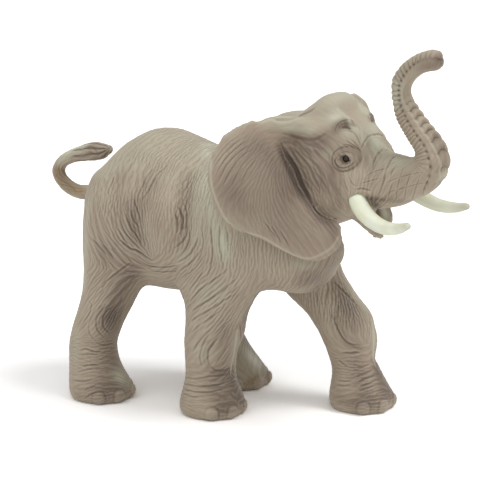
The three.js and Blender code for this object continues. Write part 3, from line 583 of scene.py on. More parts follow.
# Broad hollows (positive depth) and swellings (negative): twin side, width, depth, line
FORMS = [
    (BODY, 4.5, 1.1, [(156, 172), (146, 190), (139, 208), (138, 228), (146, 246)]),
    (BODY, 4.0, 1.3, [(190, 172), (185, 195), (183, 215), (182, 235), (180, 250)]),
    (BODY, 7.0, -1.3, [(160, 200), (159, 222), (162, 242)]),
    (BODY, 4.0, -0.7, [(203, 160), (200, 190), (203, 220), (212, 250)]),
    (BODY, 3.5, 0.6, [(122, 178), (115, 200), (112, 220)]),
    (BODY, 5.0, -0.8, [(104, 190), (98, 215), (100, 240)]),
    (BODY, 4.5, -0.7, [(124, 190), (122, 215), (118, 240)]),
    (BODY, 2.5, 0.6, [(142, 265), (158, 270), (176, 268)]),
    (LEG, 4.2, -1.0, [(222, 352), (224, 362)]),
    (LEG, 2.0, 0.7, [(207, 366), (206, 354), (211, 342)]),
    (LEG, 2.0, 0.6, [(209, 369), (219, 373), (232, 369)]),
    (LEG, 4.5, -1.1, [(356, 318), (360, 334)]),
    (LEG, 2.2, 0.8, [(331, 314), (336, 327), (343, 340), (354, 347), (362, 347)]),
    (LEG, 4.0, 1.0, [(112, 312), (110, 322)]),
    (LEG, 1.8, -0.5, [(97, 340), (91, 326), (98, 309), (108, 302)]),
    (HEAD, 2.0, 0.9, [(342, 128.5), (347, 127.5), (352, 129.5)]),
    (HEAD, 1.8, -0.8, [(333, 131), (337, 125.5), (345, 122.5), (353, 124), (358, 130), (360, 138)]),
    (HEAD, 3.2, 0.8, [(322, 150), (330, 163), (333, 176)]),
    (HEAD, 3.0, 0.5, [(364, 150), (368, 160), (366, 172)]),
    (HEAD, 4.0, -0.6, [(344, 185), (352, 178), (362, 180)]),
    (HEAD, 1.6, -0.7, [(357, 100), (361, 113), (368, 123), (376, 133), (385, 140)]),
    (HEAD, 2.0, -0.7, [(349, 198), (356, 194.5), (365, 194.5), (372, 198)]),
    (HEAD, 2.6, 0.8, [(284, 150), (290, 164), (298, 179), (306, 193)]),
    (HEAD, 4.2, -1.0, [(321, 101), (332, 99.5), (344, 98.5), (356, 99)]),
    (HEAD, 4.0, -1.3, [(362, 106), (368, 118), (373, 128)]),
    (HEAD, 2.0, 0.8, [(306, 193), (315, 206), (325, 215.5), (336, 219.5)]),
    (HEAD, 2.2, 0.7, [(288, 136), (301, 139), (316, 139.5), (325, 136), (334, 131)]),
]

# Creases: twin side, width, depth, line
FOLDS = [
    (BODY, 0.75, 0.9, [(120, 240), (130, 248.3), (138.3, 251.7), (146.7, 257.5), (152.5, 260.8)]),
    (BODY, 0.6, 0.5, [(125, 213.3), (130, 226.7), (136.7, 236.7), (140.8, 243.3)]),
    (BODY, 0.6, 0.5, [(120, 220), (125, 231.7), (131.7, 241.7), (139.2, 248.3)]),
    (BODY, 0.6, 0.45, [(130, 210), (133.3, 220), (139.2, 228.3)]),
    (BODY, 0.6, 0.4, [(133.3, 198.3), (136.7, 210), (140, 220)]),
    (BODY, 0.6, 0.4, [(118.3, 228.3), (122.5, 236.7), (128.3, 245), (133.3, 251.7)]),
    (BODY, 0.65, 0.5, [(93.3, 239.2), (100, 247.5), (106.7, 255)]),
    (BODY, 0.6, 0.4, [(102.5, 244.2), (108, 251), (113.3, 258.3)]),
    (BODY, 0.65, 0.5, [(101.7, 285), (111.7, 276.7), (125, 266.7), (131, 262.5)]),
    (BODY, 0.65, 0.45, [(145, 265), (155, 267.5), (168.3, 267.5), (178.3, 265)]),
    (BODY, 0.6, 0.4, [(150, 271), (163, 272.5), (176, 271)]),
    (BODY, 0.7, 0.6, [(176.7, 263.3), (183.3, 259.2), (190, 253.3), (195, 245), (198.3, 238)]),
    (BODY, 0.65, 0.5, [(180, 270.8), (190, 263.3), (196.7, 255.8), (201.7, 248.3), (205, 238)]),
    (BODY, 0.65, 0.5, [(175, 261.7), (183.3, 251.7), (188.3, 240), (190, 228.3)]),
    (BODY, 0.6, 0.45, [(181.7, 276.7), (191.7, 270.8), (200, 261.7), (206.7, 251.7)]),
    (BODY, 0.6, 0.4, [(141.7, 200), (148.3, 190), (155, 176.7), (161.7, 170), (168.3, 165)]),
    (BODY, 0.6, 0.3, [(137, 196), (143, 184), (149, 173), (156, 165)]),
    (BODY, 0.6, 0.4, [(109.2, 196.7), (108.3, 191.7), (110.8, 185), (114, 177)]),
    (BODY, 0.6, 0.3, [(128, 172), (131, 165), (134, 158)]),
    (BODY, 0.7, 0.6, [(178.3, 206.7), (181.7, 216.7), (181.7, 226.7), (179.2, 235)]),
    (BODY, 0.65, 0.5, [(175, 213.3), (177.5, 223.3), (176.7, 233.3)]),
    (BODY, 0.65, 0.5, [(183.3, 203.3), (185.8, 213.3), (185.8, 225), (183.3, 236.7)]),
    (BODY, 0.7, 0.5, [(201.4, 225), (203.2, 243.2), (199.5, 257.7), (192.3, 270.5)]),
    (BODY, 0.7, 0.5, [(210.5, 225), (212.3, 243.2), (211.4, 261.4), (206.8, 277.7)]),
    (BODY, 0.7, 0.45, [(219.5, 225), (219.5, 241.4), (221.4, 257.7), (223.2, 270.5)]),
    (BODY, 0.65, 0.4, [(226.8, 227), (227.7, 239.5), (226.8, 261.4)]),
    (BODY, 0.6, 0.4, [(188.6, 225), (183.2, 239.5), (174, 248.6)]),
    (LEG, 0.65, 0.5, [(188.6, 303.2), (197.7, 292.3), (208.6, 283.2), (219.5, 275.9), (227.7, 268.6)]),
    (LEG, 0.7, 0.6, [(192.3, 310.5), (203.2, 303.2), (217.7, 294.1), (228.6, 285), (237.7, 277.7)]),
    (LEG, 0.65, 0.5, [(190.5, 321.4), (201.4, 314.1), (214.1, 306.8), (225, 299.5), (235.9, 294.1)]),
    (LEG, 0.6, 0.4, [(190.5, 332.3), (199.5, 325), (210.5, 317.7), (219.5, 312.3)]),
    (LEG, 0.65, 0.5, [(192.3, 352.3), (197.7, 343.2), (205, 334.1), (212.3, 326.8)]),
    (LEG, 0.6, 0.4, [(185, 294.1), (192.3, 285), (199.5, 275.9), (205, 265)]),
    (LEG, 0.6, 0.4, [(201.4, 366.8), (199.5, 355.9), (203.2, 343.2), (208.6, 334.1)]),
    (LEG, 0.7, 0.4, [(208.6, 365), (207.2, 357.7), (208.6, 350.5), (213.2, 343.2), (217.7, 337.7)]),
    (LEG, 0.7, 0.25, [(209.5, 365.9), (215.9, 370.5), (225, 370.5), (231.4, 366.8)]),
    (LEG, 0.5, 0.3, [(215, 364), (219, 357), (224, 350), (229, 344)]),
    (LEG, 0.5, 0.3, [(221, 365), (225, 358), (230, 351)]),
    (LEG, 0.55, 0.35, [(184.1, 376.8), (194.1, 378.6), (206.8, 376.8), (219.5, 375.9), (229.5, 374.1)]),
    (LEG, 0.6, 0.4, [(183.2, 383.2), (194.1, 385.9), (208.6, 385.9), (225, 383.2)]),
    (LEG, 0.6, 0.45, [(182.8, 388.6), (192.3, 391.4), (206.8, 392.3), (221.4, 389.5)]),
    (LEG, 0.55, 0.35, [(182.3, 393.2), (192.3, 396.8), (205, 396.8)]),
    (LEG, 0.7, 0.45, [(331.3, 313.8), (335, 325), (340, 335), (346.3, 342.5), (352.5, 345), (360, 345)]),
    (LEG, 0.6, 0.45, [(323.8, 316.3), (325, 307.5), (326.3, 297.5), (328.8, 287.5)]),
    (LEG, 0.6, 0.4, [(336.3, 320), (337.5, 310), (338.8, 301.3)]),
    (LEG, 0.6, 0.35, [(317.5, 301.3), (316.3, 292.5), (317.5, 286)]),
    (LEG, 0.75, 0.7, [(335, 282), (342.5, 290), (351.3, 298.8), (357.5, 306.3)]),
    (LEG, 0.6, 0.35, [(365, 308), (368.5, 315), (369.5, 322.5), (369, 331.3), (368, 340)]),
    (LEG, 0.65, 0.5, [(342.5, 352.5), (351.3, 353.1), (360, 352.5)]),
    (LEG, 0.6, 0.4, [(338.8, 360), (342.5, 363.8), (347.5, 366.3)]),
    (LEG, 0.6, 0.4, [(356.3, 367.5), (363.8, 366.3), (370, 363.8)]),
    (LEG, 0.6, 0.45, [(356.3, 376.3), (363.8, 373.8), (372.5, 370)]),
    (LEG, 0.6, 0.45, [(358.8, 381.3), (366.3, 378.1), (375, 375)]),
    (LEG, 0.6, 0.4, [(360, 386.3), (367.5, 383.8), (376.3, 380)]),
    (LEG, 0.55, 0.35, [(358.8, 391.3), (367.5, 388.1), (376.3, 385)]),
    (LEG, 0.55, 0.3, [(336.3, 380), (345, 381.3), (352.5, 380.6)]),
    (LEG, 0.55, 0.3, [(336.3, 385), (343.8, 385.6), (351.3, 385)]),
    (LEG, 0.6, 0.3, [(97.5, 342.5), (90.6, 335), (88.8, 326.3), (92.5, 316.3), (98.8, 307.5),
                     (107.5, 303.8)]),
    (LEG, 0.6, 0.35, [(103.8, 337.5), (97.5, 330), (96.3, 320), (101.3, 310), (110, 305)]),
    (LEG, 0.6, 0.4, [(110, 333.8), (103.8, 327.5), (103.1, 318.8), (107.5, 311.3), (113.8, 306.9)]),
    (LEG, 0.6, 0.3, [(97.5, 343.5), (105, 345), (113, 342.5)]),
    (LEG, 0.65, 0.55, [(80, 350), (86.3, 349.4), (95, 351.9), (101.3, 351.3)]),
    (LEG, 0.6, 0.4, [(81.3, 355), (90, 353.8), (98.8, 355)]),
    (LEG, 0.65, 0.5, [(82.5, 366.3), (91.3, 365), (98.8, 365.6)]),
    (LEG, 0.6, 0.4, [(76, 372), (91.3, 369), (101.3, 367.5)]),
    (LEG, 0.6, 0.4, [(72.5, 380), (82.5, 381.3), (92.5, 379.4)]),
    (LEG, 0.55, 0.35, [(83.8, 390), (90, 387.5), (96.3, 385)]),
    (LEG, 0.55, 0.35, [(85, 398), (91.3, 393.8), (97.5, 392.5)]),
    (LEG, 0.65, 0.5, [(101.3, 288.5), (106.3, 281.3)]),
    (LEG, 0.55, 0.3, [(86.9, 298.8), (91.3, 305), (88.8, 313.8), (83, 322)]),
    (HEAD, 0.5, 0.4, [(345, 140), (350.6, 143.8), (356.3, 148.1), (360, 150.6)]),
    (HEAD, 0.5, 0.4, [(348.8, 138.8), (355, 143.1), (360.6, 148.8)]),
    (HEAD, 0.45, 0.35, [(343, 144.4), (350, 146), (356.9, 150.2)]),
    (HEAD, 0.5, 0.35, [(347.5, 131), (353.8, 134.5), (358.8, 141.3), (361.3, 147.5)]),
    (HEAD, 0.6, 0.5, [(361.3, 149.4), (364.4, 142.5), (368.8, 136.9), (373, 134.5)]),
    (HEAD, 0.6, 0.5, [(371.9, 167.5), (373.8, 161.3), (378.1, 153.8), (385, 148.1)]),
    (HEAD, 0.6, 0.45, [(385, 172.5), (388.1, 165), (392.5, 158.1), (398, 155)]),
    (HEAD, 0.6, 0.5, [(378.1, 196.3), (380.6, 190), (383.8, 180), (385, 172.5)]),
    (HEAD, 0.5, 0.4, [(390, 178), (392.5, 170), (397, 165)]),
    (HEAD, 0.45, 0.35, [(388, 199), (390, 190), (393, 182)]),
    (HEAD, 0.45, 0.35, [(396, 199), (398, 184), (403, 168)]),
    (HEAD, 0.45, 0.35, [(404, 200), (407, 184), (411, 171)]),
    (HEAD, 0.45, 0.35, [(412, 200), (416, 187), (420, 175)]),
    (HEAD, 0.45, 0.35, [(421, 199), (425, 187), (429, 178)]),
    (HEAD, 0.4, 0.3, [(386, 183), (398, 178), (412, 174), (424, 172)]),
    (HEAD, 0.4, 0.3, [(386, 193), (400, 189), (414, 185), (428, 182)]),
    (HEAD, 0.4, 0.3, [(366, 176), (376, 171), (388, 168)]),
    (HEAD, 0.4, 0.3, [(360, 184), (370, 181), (380, 178)]),
    (HEAD, 0.6, 0.45, [(355, 190), (362.5, 188.8), (371.3, 190.6)]),
    (HEAD, 0.5, 0.35, [(343.8, 177.5), (346.3, 186.3), (348.8, 192.5)]),
    (HEAD, 0.5, 0.3, [(349, 176), (352, 183), (357, 187)]),
    (HEAD, 0.9, 0.25, [(281, 132.8), (291, 136), (302, 138.4), (313, 139.4), (320, 136.4), (327, 132)]),
    (HEAD, 0.45, 0.25, [(334, 134), (336.5, 127), (343, 123.5), (350, 124.5), (355, 130)]),
    (HEAD, 0.6, 0.4, [(341, 129.5), (346, 128.5), (352.5, 131)]),
    (HEAD, 0.45, 0.3, [(355, 126), (359, 133), (361, 141)]),
    (HEAD, 0.8, 0.9, [(281, 143), (290, 158.5), (296, 169), (301, 182), (307, 193), (313.5, 204.5)]),
    (HEAD, 0.8, 0.9, [(313.5, 204.5), (320, 213.3), (329, 218.4), (337, 220)]),
    (HEAD, 1.1, 0.5, [(271.4, 117.9), (280, 120), (291.4, 118.6), (308.6, 112.1), (315.7, 107.9)]),
    (HEAD, 0.4, 0.25, [(213, 163), (222, 150), (231, 141), (238, 136)]),
    (HEAD, 0.4, 0.25, [(213, 169), (222, 156), (232, 146), (241, 139)]),
    (HEAD, 0.4, 0.3, [(215, 176), (224, 161), (235, 149), (246, 141)]),
    (HEAD, 0.4, 0.25, [(218, 182), (226, 166), (238, 153), (249, 145)]),
    (HEAD, 0.4, 0.25, [(222, 188), (230, 171), (241, 157), (252, 149)]),
    (HEAD, 0.4, 0.2, [(232, 184), (240, 168), (250, 157)]),
    (HEAD, 0.4, 0.2, [(241, 184), (247, 170), (256, 160)]),
    (HEAD, 0.45, 0.3, [(265.7, 223.6), (271, 231), (277.1, 237.9)]),
    (HEAD, 0.45, 0.3, [(271.5, 226), (277, 235), (281, 243)]),
    (HEAD, 0.45, 0.3, [(280, 230), (285, 239), (289, 246)]),
]

# Which way the fine wrinkles run: twin side, strength, line
GRAIN = [
    (BODY, 0.8, [(150, 152), (158, 144), (166, 138)]),
    (BODY, 0.8, [(168, 160), (180, 150), (192, 144)]),
    (BODY, 1.0, [(192, 170), (202, 158), (212, 148)]),
    (BODY, 0.8, [(90, 212), (92, 228), (96, 245)]),
    (BODY, 0.8, [(103, 182), (99, 200), (98, 222)]),
    (BODY, 0.8, [(120, 162), (112, 178), (108, 196)]),
    (BODY, 0.7, [(136, 150), (128, 165), (124, 180)]),
    (BODY, 0.9, [(125, 213), (130, 227), (138, 240)]),
    (BODY, 0.9, [(112, 222), (120, 238), (130, 250)]),
    (BODY, 0.8, [(141, 200), (148, 188), (158, 172)]),
    (BODY, 0.1, [(150, 245), (153, 225), (158, 200)]),
    (BODY, 0.1, [(158, 252), (164, 230), (168, 205)]),
    (BODY, 0.6, [(166, 180), (176, 168), (188, 158)]),
    (BODY, 0.6, [(146, 262), (160, 265), (176, 262)]),
    (BODY, 1.0, [(180, 250), (186, 225), (190, 200), (196, 178)]),
    (BODY, 1.0, [(205, 258), (208, 235), (206, 210)]),
    (BODY, 1.0, [(224, 276), (222, 255), (219, 236)]),
    (BODY, 0.8, [(247, 268), (245, 250), (241, 236)]),
    (BODY, 0.7, [(270, 268), (266, 258), (262, 248)]),
    (BODY, 0.6, [(300, 276), (303, 268), (308, 264)]),
    (BODY, 0.7, [(322, 276), (330, 268), (336, 260)]),
    (BODY, 0.7, [(96, 262), (106, 262), (118, 252)]),
    (LEG, 1.0, [(190, 304), (206, 290), (224, 276)]),
    (LEG, 1.0, [(192, 326), (206, 314), (226, 302)]),
    (LEG, 1.0, [(190, 352), (198, 338), (212, 324)]),
    (LEG, 0.8, [(214, 348), (224, 344), (234, 342)]),
    (LEG, 0.8, [(184, 372), (204, 374), (232, 370)]),
    (LEG, 0.8, [(182, 388), (204, 392), (228, 388)]),
    (LEG, 1.0, [(318, 304), (320, 292), (324, 284)]),
    (LEG, 1.0, [(330, 314), (332, 298), (338, 286)]),
    (LEG, 1.0, [(346, 318), (348, 306), (352, 300)]),
    (LEG, 0.9, [(332, 330), (340, 344), (352, 350)]),
    (LEG, 0.9, [(338, 368), (352, 369), (370, 364)]),
    (LEG, 0.9, [(336, 384), (354, 385), (376, 379)]),
    (LEG, 0.8, [(94, 300), (98, 288), (108, 276)]),
    (LEG, 0.9, [(84, 330), (90, 316), (98, 304)]),
    (LEG, 0.9, [(76, 350), (94, 349), (108, 350)]),
    (LEG, 0.9, [(72, 366), (92, 364), (112, 362)]),
    (LEG, 0.9, [(72, 382), (92, 381), (110, 376)]),
    (HEAD, 0.9, [(214, 166), (226, 152), (240, 140)]),
    (HEAD, 0.8, [(224, 176), (236, 160), (252, 148)]),
    (HEAD, 0.6, [(222, 212), (221, 198), (224, 182)]),
    (HEAD, 0.6, [(240, 222), (238, 204), (238, 184)]),
    (HEAD, 0.6, [(262, 226), (258, 206), (258, 184)]),
    (HEAD, 0.6, [(284, 236), (278, 216), (274, 194)]),
    (HEAD, 0.7, [(270, 240), (262, 228), (256, 218)]),
    (HEAD, 0.7, [(296, 254), (286, 238), (278, 224)]),
    (HEAD, 0.6, [(320, 254), (308, 238), (298, 222)]),
    (HEAD, 0.3, [(262, 122), (280, 124), (300, 122), (318, 114)]),
    (HEAD, 0.3, [(330, 98), (338, 108), (346, 118)]),
    (HEAD, 0.5, [(308, 176), (312, 190), (320, 204)]),
    (HEAD, 0.6, [(322, 172), (322, 186), (328, 202)]),
    (HEAD, 0.6, [(338, 176), (340, 190), (342, 204)]),
    (HEAD, 0.5, [(352, 176), (356, 184), (364, 188)]),
    (HEAD, 0.6, [(366, 176), (370, 164), (376, 152)]),
    (HEAD, 0.7, [(384, 190), (386, 174), (392, 160)]),
    (HEAD, 0.4, [(300, 146), (312, 148), (324, 144)]),
]
GRAIN_REACH = 9.0
# One point in so many gets a direction of its own, worked out for so many at a time
GRAIN_SPACING = 7
GRAIN_BLOCK = 2000
# How much the creases and the plain direction of the body count beside these lines
FOLD_GRAIN = 0.6
BASE_GRAIN = 0.6
# How much a line counts on another part of the body, such as one of the ear on the head
OTHER_GROUP_SHARE = 0.01
# The strength of the wrinkles far from all lines, times its weight, and that weight
PLAIN_STRENGTH = 0.3
PLAIN_WEIGHT = 0.5

# Where more brown wash, pale coat or tan lies: twin side, width, amount, line. The wash also
# paints shade in creases, hollows and the mouth, and the pale coat also paints light on
# places in shade
WASH_AND_SHADE_STROKES = [
    (HEAD, 9.0, 0.45, [(232, 165), (236, 190), (250, 210), (275, 222), (300, 235), (325, 240)]),
    (HEAD, 4.0, 0.35, [(228, 178), (233, 195), (238, 210)]),
    (HEAD, 8.0, 0.65, [(245, 150), (262, 158), (275, 175), (285, 195), (298, 210)]),
    (HEAD, 4.5, 0.4, [(240, 145), (256, 142), (270, 146)]),
    (HEAD, 4.5, 0.4, [(272, 148), (280, 164), (288, 182), (296, 198)]),
    # painted shade in the crease behind the ear
    (HEAD, 2.2, 1.2, [(279, 146), (285, 157), (291, 168), (297, 180), (302, 192)]),
    (HEAD, 1.8, 0.8, [(302, 192), (311, 206), (322, 217), (334, 221)]),
    (HEAD, 2.5, 0.5, [(334, 224), (337, 236), (334, 246)]),
    (HEAD, 4.5, 0.85, [(300, 150), (309, 164), (320, 180), (328, 194)]),
    (HEAD, 3.2, 0.7, [(288, 142), (305, 146), (320, 145), (328, 137)]),
    (HEAD, 3.0, 0.5, [(318, 216), (330, 222), (338, 228)]),
    (HEAD, 1.8, 1.1, [(335, 130), (338, 127), (343, 125), (352, 129)]),
    (HEAD, 3.5, 0.3, [(330, 138), (340, 140), (336, 150)]),
    (HEAD, 2.5, 0.3, [(322, 114), (332, 110)]),
    (HEAD, 1.5, 0.35, [(338, 150), (345, 147), (356, 150), (359, 158), (354, 167), (344, 170), (336, 165)]),
    (HEAD, 2.5, 0.4, [(336, 176), (338, 190), (338, 206), (332, 212)]),
    (HEAD, 3.0, 0.15, [(368, 160), (372, 172), (368, 182)]),
    # painted shadow of the lip above the near tusk, and of the mouth behind it
    (HEAD, 1.2, 1.8, [(353, 195.5), (363, 196), (372, 198)]),
    (HEAD, 1.0, 0.9, [(372, 198), (384, 200)]),
    (HEAD, 1.4, 1.6, [(374, 202), (377, 208), (378, 214)]),
    (HEAD, 1.6, 0.5, [(384, 199), (398, 201), (414, 200), (430, 195)]),
    (HEAD, 2.5, 0.5, [(418, 72), (428, 66), (436, 64)]),
    (HEAD, 2.5, 0.35, [(430, 130), (440, 150), (445, 165)]),
    (HEAD, 2.0, 0.6, [(436, 61), (441, 60)]),
    (BODY, 2.5, 0.4, [(86, 150), (96, 150), (108, 153)]),
    (BODY, 3.0, 0.6, [(131, 200), (132, 214), (133, 228), (138, 246)]),
    (BODY, 5.0, 0.25, [(161, 210), (163, 245)]),
    (BODY, 1.6, 0.6, [(56, 170), (62, 181), (72, 189)]),
    (BODY, 4.0, 0.35, [(118, 205), (120, 225), (118, 250), (112, 258)]),
    (BODY, 3.0, 0.2, [(98, 238), (105, 258)]),
    (BODY, 2.0, 0.25, [(178, 205), (180, 228)]),
    (BODY, 5.0, 0.35, [(106, 268), (122, 262), (138, 258), (156, 256)]),
    (BODY, 4.0, 0.25, [(100, 215), (102, 240), (104, 262), (98, 290)]),
    (LEG, 4.2, 1.1, [(136, 270), (126, 282), (118, 296), (114, 312), (112, 326)]),
    (LEG, 5.5, 0.65, [(112, 314), (109, 330), (107, 342), (108, 356), (104, 370), (104, 384)]),
    (LEG, 4.5, 1.0, [(92, 396), (106, 393), (118, 391), (126, 388)]),
    (LEG, 3.0, 0.3, [(76, 392), (84, 397)]),
    (LEG, 3.5, 0.6, [(226, 318), (222, 338), (221, 352), (222, 368), (226, 380)]),
    (LEG, 5.0, 0.9, [(213, 377), (217, 388), (223, 400), (230, 407)]),
    (LEG, 3.0, 0.9, [(232, 372), (236, 385), (241, 396), (242, 406)]),
    (LEG, 3.0, 0.2, [(236, 288), (238, 300)]),
    (LEG, 3.0, 0.5, [(322, 266), (332, 262), (337, 270)]),
    (LEG, 4.0, 0.8, [(296, 284), (308, 280), (325, 277), (336, 286), (346, 298), (355, 312)]),
    (LEG, 5.0, 0.75, [(340, 300), (351, 316), (357, 332)]),
    (LEG, 4.0, 0.8, [(352, 356), (358, 370), (362, 384), (368, 396)]),
    (LEG, 3.5, 1.0, [(350, 404), (366, 404), (384, 401)]),
    (LEG, 2.5, 0.4, [(336, 398), (346, 402)]),
    (LEG, 2.5, 0.5, [(372, 356), (378, 370), (386, 384), (390, 396)]),
    (LEG, 3.0, 0.8, [(214, 412), (226, 410), (238, 404)]),
]
# Pale coat: partly real dry brushing, and partly painted light on places in shade
PALE = [
    (BODY, 2.5, 0.8, [(224, 232), (227, 246), (226, 262)]),
    (BODY, 3.0, 0.9, [(206, 166), (207, 190), (212, 214), (217, 234), (220, 256)]),
    (BODY, 2.5, 0.8, [(205, 144), (207, 158)]),
    (BODY, 3.0, 0.5, [(196, 180), (197, 210), (200, 240)]),
    (BODY, 2.5, 0.4, [(184, 250), (178, 266)]),
    (BODY, 2.0, 0.6, [(90, 200), (86, 230), (85, 260), (85, 288)]),
    (BODY, 2.0, 0.5, [(292, 264), (318, 268)]),
    (HEAD, 3.5, 0.3, [(320, 104), (335, 100), (352, 100)]),
    (HEAD, 3.5, 0.5, [(362, 106), (370, 118), (377, 130)]),
    (BODY, 4.0, 0.3, [(104, 180), (112, 168), (124, 156)]),
    (BODY, 2.0, 0.8, [(88, 148), (78, 149), (66, 155), (57, 163)]),
    (LEG, 4.0, 0.5, [(196, 290), (210, 296), (226, 290)]),
    (LEG, 4.0, 0.5, [(190, 345), (204, 352), (214, 366)]),
    (HEAD, 2.5, 0.8, [(360, 104), (368, 120), (377, 138), (386, 149)]),
    (HEAD, 2.0, 0.8, [(284, 128), (300, 131), (314, 131)]),
    (HEAD, 2.2, 0.8, [(392, 158), (402, 163)]),
    (HEAD, 2.6, 0.6, [(262, 125), (285, 119), (300, 122)]),
    (HEAD, 2.2, 1.0, [(401, 152), (397, 140), (394, 118), (395, 95), (399, 80)]),
    (HEAD, 2.0, 0.5, [(443, 172), (439, 182)]),
    # painted light under the tusk and trunk, where shade falls
    (HEAD, 3.0, 2.0, [(382, 208), (386, 214), (387, 220)]),
    (HEAD, 2.0, 0.9, [(322, 150), (330, 156)]),
    # painted light on the far hind leg, in the shade of the other legs
    (LEG, 4.0, 1.8, [(244, 346), (254, 358), (263, 368)]),
    (LEG, 2.0, 0.5, [(345, 284), (357, 300), (366, 309)]),
    (LEG, 1.8, 0.5, [(373, 330), (375, 346), (382, 368)]),
    (LEG, 2.0, 0.5, [(293, 297), (303, 309)]),
    (LEG, 2.2, 0.4, [(78, 330), (75, 360)]),
]
# Painted highlights: thin pale lines along edges that catch the light
PAINTED_HIGHLIGHTS = [
    (LEG, 0.6, 1.0, [(237, 330), (235, 345), (232, 360), (231, 375)]),
    (HEAD, 0.6, 0.7, [(357, 106), (362, 115), (370, 124), (384, 138)]),
    (HEAD, 0.38, 0.9, [(211, 160), (210.5, 172), (211.5, 185), (215.5, 198.5), (221.5, 212), (228, 222.5)]),
    (HEAD, 0.38, 0.9, [(228, 222.5), (238, 229.5), (252, 234), (264, 238), (282, 248.8), (294, 255.3)]),
    (HEAD, 0.38, 0.7, [(294, 255.3), (309, 258.5), (322, 253.8), (332, 247), (338.5, 237)]),
]
TAN = [
    (BODY, 2.0, 1.3, [(56, 168), (60, 178), (69, 187), (84, 191)]),
    (LEG, 1.6, 0.8, [(246, 384), (254, 380), (261, 373)]),
]
WRINKLE_SEED = 7
WRINKLE_DEPTH = 0.15
# Shares of the tables' numbers: of the depth of the body's forms, and of the width and depth
# of every crease
FORM_SHARE = 0.45
FOLD_WIDTH = 0.72
FOLD_DEPTH = 0.65
# The height of the lips beside a crease, as a share of its depth
LIP_SHARE = 0.4
# A lower gain makes the streaks sharper, and levelling takes out their slow rise and fall
STREAK_GAIN = 0.8
STREAK_LEVELLING = 0.95
# How much each size of streak adds, and how often the patches of either are blurred
FINE_SHARE = 0.6
COARSE_SHARE = 0.5
PATCH_ROUNDS = 60
# Blur along the grain, blur all round, rounds, and how often each is blurred in a round
FINE_STREAKS = (0.12, 0.5, 9, 2, 3)
COARSE_STREAKS = (0.16, 0.7, 7, 5, 9)


# The trunk's middle line in the head frame: X forward and Z up
TRUNK_LINE = [
    (36.0, 91.6), (43.0, 91.6), (49.4, 92.1), (55.5, 94.8), (59.1, 99.2), (58.0, 103.8),
    (54.1, 108.0), (50.4, 112.2), (47.2, 116.4), (45.7, 120.2), (45.9, 123.6), (48.2, 127.1),
    (52.0, 130.3), (56.2, 132.2), (61.2, 133.2),
]
TRUNK_START = 40.0
RING_SPACING = [(0, 1.25), (44, 1.3), (52, 1.7), (80, 1.7)]
RING_DEPTH = 0.26
RING_WIDTH = 0.2
# Angles from the trunk's back, in degrees, by distance along it
NOTCH_ANGLE = [
    (16, 158), (19, 147), (22, 132), (25, 120), (28, 106), (42, 105), (53, 118), (60, 98),
    (70, 74),
]
RIDGE_ANGLE = [(16, 182), (23, 165), (26, 148), (30, 132), (80, 128)]
PIT_SPACING = 2.0
PIT_DEPTH = 0.42
# The furrow that the pits lie in, and the ridge below it with a groove beside it
TROUGH_DEPTH = 0.18
RIDGE_HEIGHT = 0.32
RIDGE_GROOVE = 0.22
# The large folds of the trunk's front edge, and how far round it they reach
FOLD_SPACING = 3.2
FOLD_RISE = 1.2
FOLD_REACH = 3.4

# An eye in the head frame
EYE_MIDDLE = (31.275, 10.413, 99.008)
EYE_OUTWARD = (0.1, 1.0, 0.05)
EYE_BALL = 1.8
EYE_OPENING = 1.15
EYE_STRETCH = 1.14
# Distances from the eye's middle: the crest of the lids, the valley round them, the fold of
# skin beyond, its groove, and the ring of plain skin that the fold rises from
LID_CREST = 1.7
LID_VALLEY = 2.25
LID_FOLD = 3.3
LID_GROOVE = 3.95
PLAIN_RING = (4.6, 6.0)
LID_THICKNESS = 0.22
# How far the skin goes back behind the eyeball's face inside the opening
EYE_SINK = 0.9

# Toenails: where they sit round the foot, in half turns from its front, and their middle's height
NAIL_TURNS = (-0.34, -0.12, 0.12, 0.34)
NAIL_LEVEL = 2.9
NAIL_DROP = 0.2
NAIL_HALF_WIDTH = 2.3
NAIL_HALF_HEIGHT = 2.6
# 2 would make them oval, and more makes them squarer
NAIL_SQUARENESS = 2.4
NAIL_RISE = 0.14
NAIL_GROOVE = 0.16
FOOT_REACH = 16.0

# The tail's middle line, X and Z, and how far it lies to the side
TAIL_LINE = [
    (-60.9, 73.5), (-66.9, 73.0), (-72.7, 72.3), (-78.9, 74.4), (-83.0, 79.0),
    (-80.9, 83.3), (-75.1, 86.2), (-68.6, 87.9), (-63.6, 88.6), (-60.2, 89.6),
]
TAIL_START = -59.6
TAIL_SIDE = 1.35
# The tuft's strands begin at the first distance along the tail and are full at the second
TUFT_START = (34, 39)
TUFT_DEPTH = 0.5


# Leg frames: height along the leg, and angle round its middle

# A line is cast onto the other leg from this far outside it, and over this length
LEG_RAY_START = 40.0
LEG_RAY_LENGTH = 45.0
# Wrinkles slant above the first height and run in rings below the second
LEG_RINGS = (34, 24)


def leg_middles():
    """For each leg, heights and the middle of its section there."""
    middles = {}
    for name in LEG_NODES:
        own = coarse.points[coarse_owner == SKIN_NODES.index(name)]
        heights = np.arange(2.0, own[:, 2].max() - 2, 3.0)
        rows = []
        for height in heights:
            band = own[np.abs(own[:, 2] - height) < 2]
            rows.append((band[:, :2].max(0) + band[:, :2].min(0)) / 2)
        middles[name] = (heights, np.array(rows))
    return middles


leg_rows = leg_middles()


def leg_middle(name, heights):
    rows = leg_rows[name]
    spots = [np.interp(heights, rows[0], rows[1][:, axis]) for axis in range(2)]
    return np.stack([*spots, heights], -1)


def nearest_leg(points):
    """The leg that a line lies on."""
    index = surface.find_nearest(points[len(points) // 2].tolist())[2]
    name = SKIN_NODES[coarse_owner[coarse.quads[index][0]]]
    return name if name in LEG_NODES else None


